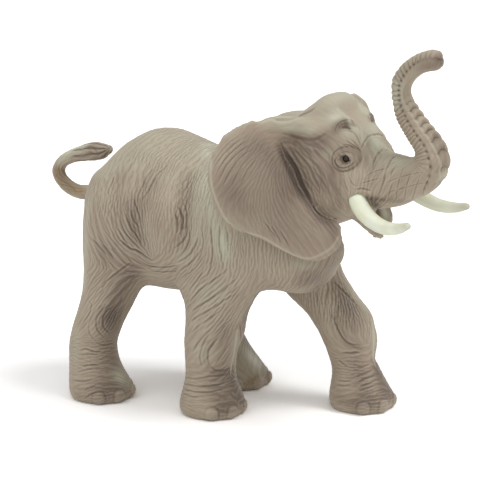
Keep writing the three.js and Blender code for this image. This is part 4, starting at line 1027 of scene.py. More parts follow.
def leg_twin(line):
    """The line at the same height and mirrored angle on the other leg of the pair."""
    points = line[:, :3]
    name = nearest_leg(points)
    if name is None:
        return twin_line(line, mirrored_body)
    side, _, rest = name.partition("_")
    other = ("right_" if side == "left" else "left_") + rest
    offset = points - leg_middle(name, points[:, 2])
    offset[:, 2] = 0
    heading = unit(offset * np.array([1, -1, 1]))
    start = leg_middle(other, points[:, 2]) + heading * LEG_RAY_START
    rows = []
    for place, way, facing in zip(start, heading, line[:, 3:] * [1, -1, 1]):
        hit, normal, _, _ = surface.ray_cast(Vector(place), Vector(-way), LEG_RAY_LENGTH)
        if hit is not None and facing @ np.array(normal) > 0.3:
            rows.append((*hit, *normal))
    return np.array(rows).reshape(-1, 6)


def unbroken(line, jump=3.0):
    """A line cut where it leaps from one part to another behind it."""
    if len(line) < 2:
        return []
    leaps = np.flatnonzero(np.linalg.norm(np.diff(line[:, :3], axis=0), axis=1) > jump) + 1
    return [part for part in np.split(line, leaps) if len(part) > 1]


def lines_of(side, pixels):
    """A picture line on the near side of the skin, and its twin on the far side."""
    near = landed(smooth_line(pixels))
    if len(near) < 2:
        return []
    if side == HEAD:
        far = twin_line(near, mirrored_head)
    elif side == LEG:
        far = leg_twin(near)
    else:
        far = twin_line(near, mirrored_body)
    return unbroken(near) + unbroken(far)


# Sculpting


def press_forms():
    """The height of the broad forms, and how much wash their hollows hold, which also paints their shade.
    """
    total = np.zeros(len(rest_points))
    shade = np.zeros(len(rest_points))
    for side, width, depth, pixels in FORMS:
        for line in lines_of(side, pixels):
            height = broad(line, width, depth)
            total += height * (FORM_SHARE if side == BODY else 1)
            shade -= height
    return total, shade


def press_folds():
    """The height of the creases, the creases alone and the raised lips beside them."""
    creases = Strokes()
    for side, width, depth, pixels in FOLDS:
        for line in lines_of(side, pixels):
            creases.add(line, width * FOLD_WIDTH, depth * FOLD_DEPTH)
    deep, proud = creases.pressed((groove, lips))
    return LIP_SHARE * proud - deep, deep, proud


def brushed(table):
    """How much of one paint a table's strokes leave at each point."""
    total = np.zeros(len(rest_points))
    for side, width, amount, pixels in table:
        for line in lines_of(side, pixels):
            total += broad(line, width, -amount, wrap=1)
    return total


GROUPS = {"head": 1, "trunk": 1, "lower_jaw": 1, "left_ear": 2, "right_ear": 2, "tail": 3}


def grain_field():
    """The wrinkle direction and strength at every coarse point."""
    group = np.array([GROUPS.get(name, 0) for name in SKIN_NODES])[coarse_owner]
    places, headings, weights, kinds = [], [], [], []
    folds = [(side, FOLD_GRAIN, pixels) for side, _, _, pixels in FOLDS]
    for side, strength, pixels in GRAIN + folds:
        for line in lines_of(side, pixels):
            spots = line[:, :3]
            places.append(spots[::2])
            headings.append(unit(np.gradient(spots, axis=0))[::2])
            weights.append(np.full(len(spots[::2]), strength))
            index = surface.find_nearest(spots[len(spots) // 2].tolist())[2]
            kinds.append(np.full(len(spots[::2]), group[coarse.quads[index][0]]))
    places, headings = np.concatenate(places), np.concatenate(headings)
    weights, kinds = np.concatenate(weights), np.concatenate(kinds)
    picks = np.arange(0, len(coarse.points), GRAIN_SPACING)
    spots = coarse.points[picks]
    squares = np.einsum("ki,kj->kij", headings, headings).reshape(-1, 9)
    tensor = np.zeros((len(picks), 9))
    total = np.zeros(len(picks))
    strength = np.zeros(len(picks))
    for start in range(0, len(picks), GRAIN_BLOCK):
        part = slice(start, start + GRAIN_BLOCK)
        gap = ((spots[part, None] - places[None]) ** 2).sum(2)
        near = np.exp(-gap / (2 * GRAIN_REACH**2))
        near *= np.where(group[picks[part], None] == kinds[None], 1.0, OTHER_GROUP_SHARE)
        tensor[part] = near @ squares
        total[part] = near.sum(1)
        strength[part] = (near * weights).sum(1)
    strength = (strength + PLAIN_STRENGTH) / (total + PLAIN_WEIGHT)
    plain = base_grain(picks)
    tensor = tensor.reshape(-1, 3, 3) + BASE_GRAIN * np.einsum("ki,kj->kij", plain, plain)
    heading = np.linalg.eigh(tensor)[1][:, :, 2]
    tree = KDTree(len(picks))
    for number, spot in enumerate(spots.tolist()):
        tree.insert(spot, number)
    tree.balance()
    nearest = np.array([tree.find(p)[1] for p in coarse.points.tolist()])
    heading, strength = heading[nearest], strength[nearest]
    heading -= coarse.normals * (heading * coarse.normals).sum(1, keepdims=True)
    return unit(heading), strength


def base_grain(picks):
    """The direction where the picture says nothing: slanting down the body, round the legs."""
    points, normals = coarse.points[picks], coarse.normals[picks]
    owners = coarse_owner[picks]
    upward = np.array([0, 0, 1.0])
    heading = np.tile(unit(np.array([0.3, 0.0, 1.0])), (len(picks), 1))
    for name in LEG_NODES:
        own = owners == SKIN_NODES.index(name)
        ring = unit(np.cross(upward, normals[own]))
        slant = unit(ring * 0.5 + upward)
        low = smoothstep(*LEG_RINGS, points[own, 2])[:, None]
        heading[own] = unit(ring * low + slant * (1 - low))
    tail = owners == SKIN_NODES.index("tail")
    heading[tail] = unit(np.cross([0, 1.0, 0], normals[tail]) + 1e-3)
    return heading


def along_edges(heading):
    """The heading at every base point, from its value at the coarse ones."""
    _, edges = numbered_sides(coarse.quads, len(coarse.points))
    first, second = heading[edges[:, 0]], heading[edges[:, 1]]
    second = second * np.where((first * second).sum(1) < 0, -1, 1)[:, None]
    corners = heading[coarse.quads]
    same = np.where((corners * corners[:, :1]).sum(2) < 0, -1, 1)[:, :, None]
    return unit(np.concatenate([heading, first + second, (corners * same).sum(1)]))


def mean_of_edges(field):
    _, edges = numbered_sides(coarse.quads, len(coarse.points))
    return np.concatenate([field, field[edges].mean(1), field[coarse.quads].mean(1)])


class Blur:
    """A weighted mean over each base point's neighbours, with a weight for each pair."""

    def __init__(self, first, second, weights, own=1.0):
        self.first, self.second, self.weights, self.own = first, second, weights, own
        self.count = len(base.points)
        self.total = own + np.bincount(first, weights, self.count)
        self.total += np.bincount(second, weights, self.count)

    def __call__(self, field):
        total = np.bincount(self.first, self.weights * field[self.second], self.count)
        total += np.bincount(self.second, self.weights * field[self.first], self.count)
        return (total + self.own * field) / self.total


def streaks(heading, seed, size):
    """Long fine ridges and furrows from -1 to 1 that follow a heading over the base skin."""
    quads = base.quads
    first = np.concatenate([base.edges[:, 0], quads[:, 0], quads[:, 1]])
    second = np.concatenate([base.edges[:, 1], quads[:, 2], quads[:, 3]])
    offset = base.points[second] - base.points[first]
    same = np.where((heading[first] * heading[second]).sum(1) < 0, -1, 1)[:, None]
    way = unit(heading[first] + heading[second] * same)
    along = (offset * way).sum(1)
    across = (offset**2).sum(1) - along**2
    blur, width, rounds, long_steps, wide_steps = size
    lengthwise = Blur(first, second, np.exp(-across / (2 * blur**2)))
    wide = Blur(first, second, np.exp(-(offset**2).sum(1) / (2 * width**2)))
    field = np.random.default_rng(seed).normal(0, 1, len(base.points))
    for _ in range(rounds):
        for _ in range(long_steps):
            field = lengthwise(field)
        around = field
        for _ in range(wide_steps):
            around = wide(around)
        field = field - STREAK_LEVELLING * around
        field = np.tanh(field / (STREAK_GAIN * field.std()))
    return field


def press_wrinkles():
    heading, strength = grain_field()
    heading, strength = along_edges(heading), mean_of_edges(strength)
    fine = streaks(heading, WRINKLE_SEED, FINE_STREAKS)
    coarse_lines = streaks(heading, WRINKLE_SEED + 1, COARSE_STREAKS)
    patches = base_patches()
    field = FINE_SHARE * fine * (0.5 + patches)
    field = field + COARSE_SHARE * coarse_lines * (1.2 - patches)
    field = skin.carried(field * strength) * quiet_places()
    return field * WRINKLE_DEPTH, field


def base_patches():
    """Slow variation from 0 to 1 over the base skin, in patches about a centimetre across."""
    field = np.random.default_rng(WRINKLE_SEED + 2).normal(0, 1, len(coarse.points))
    field = coarse.relaxed(field, PATCH_ROUNDS, 0.8)
    return mean_of_edges(smoothstep(-1.2, 1.2, field / field.std()))


def quiet_places():
    """Less of the fine wrinkles on the ears, the crown, the trunk and the lower legs."""
    place = to_head(rest_points)
    trunk = smoothstep(TRUNK_START + 6, TRUNK_START + 16, place[:, 0]) * (place[:, 2] > 80)
    ears = np.isin(owner, [SKIN_NODES.index(name) for name in EAR_NODES]).astype(float)
    ears = skin.carried(base.relaxed(ears, 10))
    crown = smoothstep(100, 108, place[:, 2]) * smoothstep(-4, 4, place[:, 0]) * (1 - ears)
    feet = smoothstep(40, 24, rest_points[:, 2])
    return (1 - 0.4 * trunk) * (1 - 0.6 * ears) * (1 - 0.7 * crown) * (1 - 0.35 * feet)


# The trunk: distance along its middle line, and angle round it from its back


def ease(table, place):
    return np.interp(place, [row[0] for row in table], [row[1] for row in table])


def curve_through(knots, steps=40):
    """Points along a smooth curve, and the distance and direction at each."""
    line = smooth_line(knots, 1 / steps)
    distance = np.concatenate([[0], np.cumsum(np.linalg.norm(np.diff(line, axis=0), axis=1))])
    return line, distance, unit(np.gradient(line, axis=0))


def round_curve(knots, points):
    """Distance along a curve in the XZ plane, angle round it from its back, and radius."""
    line, distance, heading = curve_through(knots)
    tree = KDTree(len(line))
    for number, (x, z) in enumerate(line.tolist()):
        tree.insert((x, 0, z), number)
    tree.balance()
    index = np.array([tree.find((x, 0, z))[1] for x, _, z in points.tolist()])
    offset = points[:, [0, 2]] - line[index]
    back = offset[:, 1] * heading[index, 0] - offset[:, 0] * heading[index, 1]
    return distance[index], np.arctan2(points[:, 1], back), np.hypot(points[:, 1], back)


def bumps(gap, width):
    """A rounded bump of height 1 where the gap is nothing."""
    return np.exp(-((gap / width) ** 2))


def press_trunk():
    """Rings on the back and sides, a row of pits below them, and ridges along the underside."""
    heights = np.zeros(len(rest_points))
    paint = np.zeros(len(rest_points))
    place = to_head(rest_points)
    beside = (np.abs(place[:, 1]) < 14) & (place[:, 2] > 84)
    own = np.flatnonzero((place[:, 0] > TRUNK_START) & beside)
    along, angle, radius = round_curve(TRUNK_LINE, place[own])
    side = np.abs(np.degrees(angle))
    wobble = 0.12 * np.sin(along * 0.9 + side * 0.05) + 0.08 * np.sin(along * 2.3 - side * 0.03)
    samples = np.linspace(0, 80, 400)
    phase = np.interp(along, samples, np.cumsum(samples[1] / ease(RING_SPACING, samples)))
    notch = ease(NOTCH_ANGLE, along)
    fade = smoothstep(18, 32, along) * (radius < 13)
    band = smoothstep(notch + 2, notch - 10, side) * fade
    back = smoothstep(30, 60, side)
    turns = phase + wobble
    rings = bumps(turns - np.round(turns), RING_WIDTH) * (0.65 + 0.35 * back)
    rings *= 0.7 + 0.3 * smoothstep(40, 48, along)
    between = 0.5 - 0.5 * np.cos(2 * math.pi * turns)
    lift = band * (RING_DEPTH * (0.4 * between - rings))
    pit_gap = (along / PIT_SPACING - np.round(along / PIT_SPACING)) * PIT_SPACING
    across = np.radians(side - notch) * radius
    pits = bumps(pit_gap, 0.5 - 0.12 * across.clip(-1, 1)) * bumps(across + 0.1, 0.55)
    pits *= smoothstep(16, 24, along) * smoothstep(70, 66, along)
    lift -= PIT_DEPTH * pits
    trough = bumps(across - 0.1, 0.5) * fade * TROUGH_DEPTH
    lift -= trough
    across = np.radians(side - ease(RIDGE_ANGLE, along)) * radius
    ridge = bumps(across, 0.45) * smoothstep(14, 24, along)
    ridge *= smoothstep(56, 44, along)
    lift += RIDGE_HEIGHT * ridge
    lift -= RIDGE_GROOVE * bumps(across - 1.0, 0.35) * fade
    under = np.radians(180 - side) * radius
    fold = np.abs(np.sin(math.pi * along / FOLD_SPACING + 0.4 * np.sin(side * 0.1)))
    edge = bumps(under, FOLD_REACH) * smoothstep(20, 27, along) * smoothstep(52, 44, along)
    lift += edge * FOLD_RISE * (fold**0.8 - 0.45)
    heights[own] = lift
    # Wash in the rings, pits, furrow and folds, which also paints their shade, and less on the ridge
    paint[own] = band * rings * 0.5 + 1.1 * pits + 2 * trough - 0.5 * ridge
    paint[own] += edge * (1 - fold) * 0.7
    return heights, paint


# The eyes: lids and folds round each eyeball, in a frame that faces outward


def shape_eye(hand):
    """The skin round one eye goes where the lids and the folds round them lie."""
    side = np.array([1, hand, 1])
    outward = unit(np.array(EYE_OUTWARD) * side)
    forward = unit(np.array([1.0, 0, 0]) - outward * outward[0])
    upward = np.cross(forward, outward)
    upward = upward * np.sign(upward[2])
    offset = to_head(skin.points) - np.array(EYE_MIDDLE) * side
    near = np.flatnonzero(np.linalg.norm(offset, axis=1) < 9)
    normals = skin.normals[near] @ head_place[:3, :3]
    near = near[normals @ outward > -0.2]
    offset = offset[near]
    ahead, above, level = offset @ forward, offset @ upward, offset @ outward
    ring = np.hypot(ahead / EYE_STRETCH, above)
    squares = [ahead * ahead, above * above, ahead * above]
    terms = np.stack([np.ones_like(ahead), ahead, above, *squares], 1)
    around = (ring > PLAIN_RING[0]) & (ring < PLAIN_RING[1]) & (level > -3)
    base_level = terms @ np.linalg.lstsq(terms[around], level[around], rcond=None)[0]
    ball = np.sqrt(np.clip(EYE_BALL**2 - ahead**2 - above**2, 0.4, None))
    lower = smoothstep(0.5, -0.8, above)
    crest, valley = LID_CREST + 0.45 * lower, LID_VALLEY + 0.55 * lower
    lid = ball + LID_THICKNESS
    fold = 0.3 * bumps(ring - LID_FOLD, 0.4) - 0.25 * bumps(ring - LID_GROOVE, 0.28)
    fold -= 0.32 * bumps(ring - valley, 0.28)
    body = base_level + 0.45 * smoothstep(4.2, 2.2, ring) + fold
    target = lid + (body - lid) * smoothstep(1.35, crest + 0.35, ring)
    target += 0.25 * bumps(ring - crest, 0.35)
    inside = smoothstep(EYE_OPENING + 0.08, EYE_OPENING - 0.14, ring)
    target = target * (1 - inside) + (ball - EYE_SINK) * inside
    weight = smoothstep(5.2, 4.4, ring)
    moved = np.outer(weight * (target - level), outward) @ head_place[:3, :3].T
    skin.points[near] += moved
    paint = np.zeros(len(skin.points))
    # Wash round the eye, which also paints the shade in the lids' valley, the groove beyond and over the
    # socket, darkest at the opening
    paint[near] = 0.3 * bumps(ring - valley, 0.3) + 0.2 * bumps(ring - LID_GROOVE, 0.35)
    paint[near] += 0.9 * smoothstep(EYE_OPENING + 0.35, EYE_OPENING, ring)
    paint[near] += 0.3 * smoothstep(4.4, 3.4, ring)
    return paint


# Toenails and the tail


def press_nails():
    """Four raised nails round the front of each foot, each with a groove round it."""
    heights = np.zeros(len(rest_points))
    nails = np.zeros(len(rest_points))
    low = np.flatnonzero(rest_points[:, 2] < FOOT_HEIGHT)
    for name in LEG_NODES:
        middle = leg_middle(name, np.array([NAIL_LEVEL]))[0]
        offset = rest_points[low] - middle
        radius = np.hypot(offset[:, 0], offset[:, 1])
        angle = np.arctan2(offset[:, 1], offset[:, 0])
        own = radius < FOOT_REACH
        for turn in NAIL_TURNS:
            gap = (angle - turn * math.pi) * radius
            wide = (np.abs(gap) / NAIL_HALF_WIDTH) ** NAIL_SQUARENESS
            high = (np.abs(offset[:, 2] + NAIL_DROP) / NAIL_HALF_HEIGHT) ** NAIL_SQUARENESS
            shape = np.where(own, (wide + high) ** (1 / NAIL_SQUARENESS), 9)
            plate = smoothstep(1.1, 0.7, shape)
            heights[low] += NAIL_RISE * plate - NAIL_GROOVE * bumps(shape - 1.15, 0.18)
            nails[low] = np.maximum(nails[low], plate)
    return heights, nails


def press_tail():
    """Strands of the tuft: grooves along the end of the tail."""
    heights = np.zeros(len(rest_points))
    own = np.flatnonzero((rest_points[:, 0] < TAIL_START) & (rest_points[:, 2] > 60))
    along, angle, radius = round_curve(TAIL_LINE, rest_points[own] - [0, TAIL_SIDE, 0])
    tuft = smoothstep(*TUFT_START, along) * (radius < 5)
    strands = np.abs(np.sin(angle * 3.5 + 0.25 * np.sin(along * 0.8) + 0.3))
    heights[own] = -TUFT_DEPTH * tuft * (1 - strands**0.7)
    return heights


# All of it


def sculpt():
    """Sculpts the skin, and tells how much wash each relief asks for, which also paints the shade of its
    low places.
    """
    forms, shade = press_forms()
    folds, creases, lips_beside = press_folds()
    rings, ring_paint = press_trunk()
    nails, nail_paint = press_nails()
    strands = press_tail()
    fine, fine_paint = press_wrinkles()
    skin.lift(forms)
    eyes = shape_eye(-1) + shape_eye(1)
    skin.refresh()
    skin.lift(folds + rings + nails + strands)
    skin.lift(fine)
    skin.close_cracks()
    return {
        "shade": shade,
        "crease": creases + ring_paint + eyes - strands * 3,
        "streak": fine_paint,
        "nail": nail_paint,
        "lip": lips_beside,
        "wash_and_shade_strokes": brushed(WASH_AND_SHADE_STROKES),
        "pale": brushed(PALE),
        "tan": brushed(TAN),
        "painted_highlight": brushed(PAINTED_HIGHLIGHTS),
    }


paint = sculpt()

# Pieces


def owner_of_quads():
    """The node that most corners of each quad of the base skin belong to."""
    corners = owner[base.quads]
    best = corners[:, 0].copy()
    matching = (corners[:, 1] == corners[:, 2]) | (corners[:, 1] == corners[:, 3])
    matching &= corners[:, 0] != corners[:, 1]
    best[matching] = corners[:, 1][matching]
    return best


def cut_pieces(fields, material):
    """One piece of skin for each solid, with the whole skin's shading across the cuts."""
    belongs = owner_of_quads()[skin.parent]
    for number, name in enumerate(SKIN_NODES):
        quads = skin.quads[belongs == number]
        kept, index = np.unique(quads, return_inverse=True)
        piece = new_mesh(name + "_skin", skin.points[kept], index.reshape(-1, 4))
        mesh = piece.data
        mesh.polygons.foreach_set("use_smooth", np.ones(len(quads), bool))
        for field, values in fields.items():
            layer = mesh.attributes.new(field, "FLOAT", "POINT")
            layer.data.foreach_set("value", values[kept].astype(np.float32))
        mesh.normals_split_custom_set_from_vertices(skin.normals[kept].tolist())
        mesh.materials.append(material)
        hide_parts(name)
        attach(piece, "root")


# Materials

# Sizes of the paint's blots and grain. Real grain is finer, and is drawn as coarse as it
# needs to show.
COAT_BLOTS = 9.0
COAT_GRAIN = 0.5
COAT_RELIEF = 0.06
IVORY_BLOTS = 4.0
IVORY_GRAIN = 0.7
IVORY_RELIEF = 0.03
EYE_BLOTS = 0.6
PAPER_BLOTS = 30.0

# Paints over the taupe coat in the order of brushing: field that holds each, strength, colour
BRUSHED_COATS = [
    # pale coat, partly real dry brushing and partly painted light
    ("pale", 1.0, "#b8b49f"),
    # painted light: lighter paint on places in shade
    ("light", 1.0, "#dcdac8"),
    ("tan", 1.0, "#8f7654"),
    # brown wash, which also paints the shade of hollows and creases
    ("wash_and_shade", 0.85, "#66564a"),
    # the darkest brown, which paints the deep shade of creases and gaps
    ("deep", 0.8, "#33241a"),
    # dry brushing on ridges, partly real and partly a painted highlight
    ("crest", 0.5, "#c2bba8"),
]


def linear(code):
    """A linear colour from an sRGB hex code."""
    values = [int(code[i : i + 2], 16) / 255 for i in (1, 3, 5)]
    parts = [v / 12.92 if v <= 0.04045 else ((v + 0.055) / 1.055) ** 2.4 for v in values]
    return (*parts, 1.0)


def add_node(tree, kind, inputs=None, **settings):
    """A new node with its settings. Each input is a value, or the output that feeds it."""
    node = tree.nodes.new(kind)
    for key, value in settings.items():
        setattr(node, key, value)
    for key, value in (inputs or {}).items():
        if isinstance(value, bpy.types.NodeSocket):
            tree.links.new(value, node.inputs[key])
        else:
            node.inputs[key].default_value = value
    return node


def new_material(name):
    """A new material, its emptied node tree, and the place on the object for its patterns."""
    material = bpy.data.materials.new(name)
    material.use_nodes = True
    tree = material.node_tree
    tree.nodes.clear()
    return material, tree, add_node(tree, "ShaderNodeTexCoord").outputs["Object"]


def painted_vinyl():
    """Moulded vinyl under matte acrylic paint, which looks soft and dusty: a taupe coat in two
    shades, with brown wash in the low places that also paints their shade, pale dry brushing on
    the high ones that is partly a painted highlight, paler paint that paints light on places in
    shade, and painted highlights along edges."""
    material, tree, place = new_material("painted_vinyl")
    blots = {"Vector": place, "Scale": 1 / (COAT_BLOTS * MM), "Detail": 3.0}
    blots = add_node(tree, "ShaderNodeTexNoise", blots).outputs["Fac"]
    grain = {"Vector": place, "Scale": 1 / (COAT_GRAIN * MM), "Detail": 3.0}
    grain = add_node(tree, "ShaderNodeTexNoise", grain).outputs["Fac"]
    shade = {"Value": blots, "From Min": 0.3, "From Max": 0.7}
    shade = add_node(tree, "ShaderNodeMapRange", shade, interpolation_type="SMOOTHSTEP")
    coat = {0: shade.outputs["Result"], 6: linear("#a3927f"), 7: linear("#ab9d89")}
    coat = add_node(tree, "ShaderNodeMix", coat, data_type="RGBA").outputs[2]
    for field, strength, colour in BRUSHED_COATS:
        amount = add_node(tree, "ShaderNodeAttribute", attribute_name=field).outputs["Fac"]
        share = add_node(tree, "ShaderNodeMath", {0: amount, 1: strength}, operation="MULTIPLY")
        layers = {0: share.outputs[0], 6: coat, 7: linear(colour)}
        coat = add_node(tree, "ShaderNodeMix", layers, data_type="RGBA").outputs[2]
    rough = {0: grain, 1: 0.12, 2: 0.52}
    rough = add_node(tree, "ShaderNodeMath", rough, operation="MULTIPLY_ADD").outputs[0]
    bump = add_node(tree, "ShaderNodeBump", {"Height": grain, "Distance": COAT_RELIEF * MM})
    surface = {
        "Base Color": coat,
        "Roughness": rough,
        "Specular IOR Level": 0.35,
        "Sheen Weight": 0.22,
        "Sheen Roughness": 0.5,
        "Sheen Tint": linear("#efe8da"),
        "Normal": bump.outputs["Normal"],
    }
    surface = add_node(tree, "ShaderNodeBsdfPrincipled", surface).outputs["BSDF"]
    add_node(tree, "ShaderNodeOutputMaterial", {"Surface": surface})
    return material


def ivory_paint():
    """Satin ivory paint, whose soft sheen sets the tusks off from the matte skin: mint white at
    the root and browner towards the tip, and darker all over the far tusk as painted shade."""
    material, tree, place = new_material("ivory_paint")
    blots = {"Vector": place, "Scale": 1 / (IVORY_BLOTS * MM), "Detail": 2.0}
    blots = add_node(tree, "ShaderNodeTexNoise", blots).outputs["Fac"]
    shade = {"Value": blots, "From Min": 0.3, "From Max": 0.7}
    shade = add_node(tree, "ShaderNodeMapRange", shade, interpolation_type="SMOOTHSTEP")
    colour = {0: shade.outputs["Result"], 6: linear("#f0f5e2"), 7: linear("#eceed2")}
    colour = add_node(tree, "ShaderNodeMix", colour, data_type="RGBA").outputs[2]
    brown_and_shade = add_node(tree, "ShaderNodeAttribute", attribute_name="tip_brown_and_shade").outputs["Fac"]
    colour = {0: brown_and_shade, 6: colour, 7: linear("#a59b88")}
    colour = add_node(tree, "ShaderNodeMix", colour, data_type="RGBA").outputs[2]
    grain = {"Vector": place, "Scale": 1 / (IVORY_GRAIN * MM), "Detail": 4.0}
    grain = add_node(tree, "ShaderNodeTexNoise", grain).outputs["Fac"]
    bump = add_node(tree, "ShaderNodeBump", {"Height": grain, "Distance": IVORY_RELIEF * MM})
    surface = {
        "Base Color": colour,
        "Roughness": 0.42,
        "Specular IOR Level": 0.4,
        "Normal": bump.outputs["Normal"],
    }
    surface = add_node(tree, "ShaderNodeBsdfPrincipled", surface).outputs["BSDF"]
    add_node(tree, "ShaderNodeOutputMaterial", {"Surface": surface})
    return material


def eye_gloss():
    """Dark brown gloss paint, which gives each eye its small highlight."""
    material, tree, place = new_material("eye_gloss")
    blots = {"Vector": place, "Scale": 1 / (EYE_BLOTS * MM), "Detail": 4.0}
    blots = add_node(tree, "ShaderNodeTexNoise", blots).outputs["Fac"]
    shade = {"Value": blots, "From Min": 0.4, "From Max": 0.6}
    shade = add_node(tree, "ShaderNodeMapRange", shade, interpolation_type="SMOOTHSTEP")
    colour = {0: shade.outputs["Result"], 6: linear("#120d0b"), 7: linear("#2a1b13")}
    colour = add_node(tree, "ShaderNodeMix", colour, data_type="RGBA").outputs[2]
    surface = {"Base Color": colour, "Roughness": 0.18, "Specular IOR Level": 0.3}
    surface = add_node(tree, "ShaderNodeBsdfPrincipled", surface).outputs["BSDF"]
    add_node(tree, "ShaderNodeOutputMaterial", {"Surface": surface})
    return material


# Stage

# How much whiter the paper is seen than it lights the figure, as in an overexposed studio picture
FLOOR_GAIN = 1.5
FLOOR_HALF = 3000.0
# The world lights the figure at this strength, and is white where it is seen
WORLD_STRENGTH = 0.33
# Soft distant lights: name, azimuth (0 from -Y and 90 from +X) and elevation in degrees,
# strength, and width in degrees
LIGHTS = [("key", 98, 56, 1.25, 26), ("fill", 10, 38, 0.9, 80), ("top", -20, 80, 0.35, 70)]


def background_share(tree):
    """1 for rays that show the background: from the camera, a reflection or through glass."""
    path = add_node(tree, "ShaderNodeLightPath").outputs
    share = path["Is Camera Ray"]
    for kind in ("Is Glossy Ray", "Is Transmission Ray"):
        either = {0: share, 1: path[kind]}
        share = add_node(tree, "ShaderNodeMath", either, operation="MAXIMUM").outputs[0]
    return share


def paper_floor():
    """White studio paper, which is seen as plain white and keeps the figure's shadow."""
    material, tree, place = new_material("paper_floor")
    blots = {"Vector": place, "Scale": 1 / (PAPER_BLOTS * MM), "Detail": 4.0}
    blots = add_node(tree, "ShaderNodeTexNoise", blots).outputs["Fac"]
    colour = {0: blots, 6: linear("#f6f6f6"), 7: linear("#fafafa")}
    colour = add_node(tree, "ShaderNodeMix", colour, data_type="RGBA").outputs[2]
    whiter = {"Vector": colour, "Scale": FLOOR_GAIN}
    whiter = add_node(tree, "ShaderNodeVectorMath", whiter, operation="SCALE").outputs["Vector"]
    lit = add_node(tree, "ShaderNodeBsdfDiffuse", {"Color": colour}).outputs[0]
    seen = add_node(tree, "ShaderNodeBsdfDiffuse", {"Color": whiter}).outputs[0]
    choice = {0: background_share(tree), 1: lit, 2: seen}
    choice = add_node(tree, "ShaderNodeMixShader", choice).outputs[0]
    add_node(tree, "ShaderNodeOutputMaterial", {"Surface": choice})
    return material


def add_floor():
    half = FLOOR_HALF
    corners = np.array([[-half, -half, 0], [half, -half, 0], [half, half, 0], [-half, half, 0]])
    floor = new_mesh("floor", corners, np.array([[0, 1, 2, 3]]))
    floor.data.materials.append(paper_floor())


def add_sun(name, azimuth, elevation, strength, softness):
    turn, rise = math.radians(azimuth), math.radians(elevation)
    side, ahead = math.sin(turn) * math.cos(rise), -math.cos(turn) * math.cos(rise)
    data = bpy.data.lights.new(name, "SUN")
    data.energy = strength
    data.angle = math.radians(softness)
    light = bpy.data.objects.new(name, data)
    bpy.context.scene.collection.objects.link(light)
    light.rotation_mode = "QUATERNION"
    light.rotation_quaternion = Vector((side, ahead, math.sin(rise))).to_track_quat("Z", "Y")


def add_world():
    world = bpy.data.worlds.new("studio")
    world.use_nodes = True
    tree = world.node_tree
    strength = {"Value": background_share(tree), "To Min": WORLD_STRENGTH}
    strength = add_node(tree, "ShaderNodeMapRange", strength).outputs["Result"]
    background = tree.nodes["Background"]
    background.inputs["Color"].default_value = (1, 1, 1, 1)
    tree.links.new(strength, background.inputs["Strength"])
    bpy.context.scene.world = world
    bpy.context.scene.view_settings.view_transform = "Standard"


# Tusks and eyes

# The voxels that each is built from again, and how often their steps are smoothed away
TUSK_VOXEL = 0.45
TUSK_ROUNDS = 14
EYE_VOXEL = 0.2
EYE_ROUNDS = 6
SMALL_SHRINK_ROUNDS = 12
# Shares of brown in the ivory paint at the tips, and of painted shade all over the far tusk
TIP_BROWN = 0.45
FAR_TUSK_SHADE = 0.2


def smooth_copy(node, material, voxel, rounds):
    """A facet free copy of a small solid."""
    points, faces, _ = solid_triangles([node])
    block = new_mesh("small", points, faces)
    remesh = block.modifiers.new("voxels", "REMESH")
    remesh.mode = "VOXEL"
    remesh.voxel_size = voxel * MM
    small = Skin(*modified_arrays(block))
    nearest = BVHTree.FromPolygons(points.tolist(), faces.tolist())
    small.points = small.relaxed(small.points, rounds)
    small.refresh()
    places = np.array([nearest.find_nearest(p)[0] for p in small.points.tolist()])
    shrink = ((places - small.points) * small.normals).sum(1)
    small.lift(small.relaxed(shrink, SMALL_SHRINK_ROUNDS))
    small = subdivided(small)
    piece = new_mesh(node + "_smooth", small.points, small.quads)
    piece.data.polygons.foreach_set("use_smooth", np.ones(len(small.quads), bool))
    piece.data.materials.append(material)
    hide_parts(node)
    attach(piece, "root")
    return piece


def tint_tusk(tusk, shade_all_over):
    """The share of brown in a tusk's paint at its tip, and of painted shade all over it."""
    points = mesh_arrays(tusk.data)[0]
    forward = to_head(points)[:, 0]
    share = (forward - forward.min()) / (forward.max() - forward.min())
    layer = tusk.data.attributes.new("tip_brown_and_shade", "FLOAT", "POINT")
    brown_and_shade = shade_all_over + TIP_BROWN * smoothstep(0.75, 1.05, share)
    layer.data.foreach_set("value", brown_and_shade.astype(np.float32))


def add_small_pieces():
    ivory, gloss = ivory_paint(), eye_gloss()
    for hand in ("left", "right"):
        tusk = smooth_copy(hand + "_tusk", ivory, TUSK_VOXEL, TUSK_ROUNDS)
        tint_tusk(tusk, FAR_TUSK_SHADE if hand == "left" else 0.0)
        smooth_copy(hand + "_eye", gloss, EYE_VOXEL, EYE_ROUNDS)


# Paint that follows the relief, with painted shade in its low places and painted highlights on its high
# ones

# How much wash the broad hollows, the creases and the fine furrows ask for, which also paints their shade
SHADE_WASH = 0.4
CREASE_WASH = 0.6
STREAK_WASH = 0.22
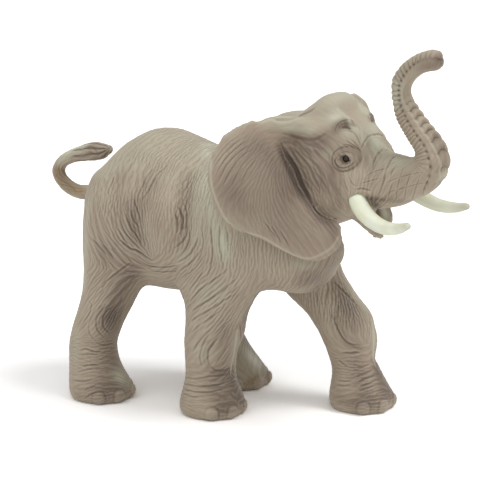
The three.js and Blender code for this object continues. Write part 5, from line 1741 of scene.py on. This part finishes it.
# A hollow this deep asks for a full wash that also paints its shade, and a crest this high for full dry
# brushing that is partly a painted highlight
FULL_HOLLOW = 0.25
FULL_CREST = 0.12
# How much cleaner the toenails are kept, and how much paler the coat is on upper sides, partly as pale dust
# and partly as painted light from above
NAIL_CLEANING = 0.25
UPPER_PALE = 0.4


def relief_fields():
    """Where wash and painted shade gather, where dry brushing and painted highlights catch, and where the
    pale coat and painted light lie.
    """
    near = skin.relaxed(skin.points, 8)
    hollow = ((near - skin.points) * skin.normals).sum(1)
    shade = np.clip(paint["shade"], 0, 1.3) * SHADE_WASH
    crease = np.clip(paint["crease"], 0, 1.2) * CREASE_WASH
    # Brown wash in hollows and creases, which also paints their shade
    wash_and_shade = shade + crease + np.clip(hollow / FULL_HOLLOW, 0, 0.5) - STREAK_WASH * paint["streak"]
    # Dry brushing on ridges and beside creases, partly real and partly a painted highlight
    crest = np.clip(-hollow / FULL_CREST, 0, 1) * 0.5 + np.clip(paint["streak"], 0, 1) * 0.5
    crest += np.clip(paint["lip"], 0, 1) * np.clip(1 - 1.5 * paint["wash_and_shade_strokes"], 0, 1)
    wash_and_shade = (wash_and_shade + paint["wash_and_shade_strokes"]) * (1 - NAIL_CLEANING * paint["nail"])
    # The coat is paler on upper sides, partly pale dust and partly painted light from above
    upper = smoothstep(0.15, 0.9, skin.normals[:, 2])
    pale = upper * UPPER_PALE + paint["pale"] - 0.6 * paint["wash_and_shade_strokes"]
    painted_highlight = paint["painted_highlight"]
    return {
        "wash_and_shade": np.clip(wash_and_shade - painted_highlight, 0, 1),
        # The darkest brown where the wash goes past full, which paints the deep shade of creases and gaps
        "deep": np.clip(wash_and_shade - 1, 0, 1),
        "crest": np.clip(crest - paint["crease"], 0, 1),
        "pale": np.clip(pale + painted_highlight, 0, 1),
        # Painted light: a lighter pale where the pale coat goes past full, on places in shade
        "light": np.clip(pale - 1, 0, 1),
        "tan": np.clip(paint["tan"], 0, 1),
    }


cut_pieces(relief_fields(), painted_vinyl())
add_small_pieces()
add_floor()
for light in LIGHTS:
    add_sun(*light)
add_world()
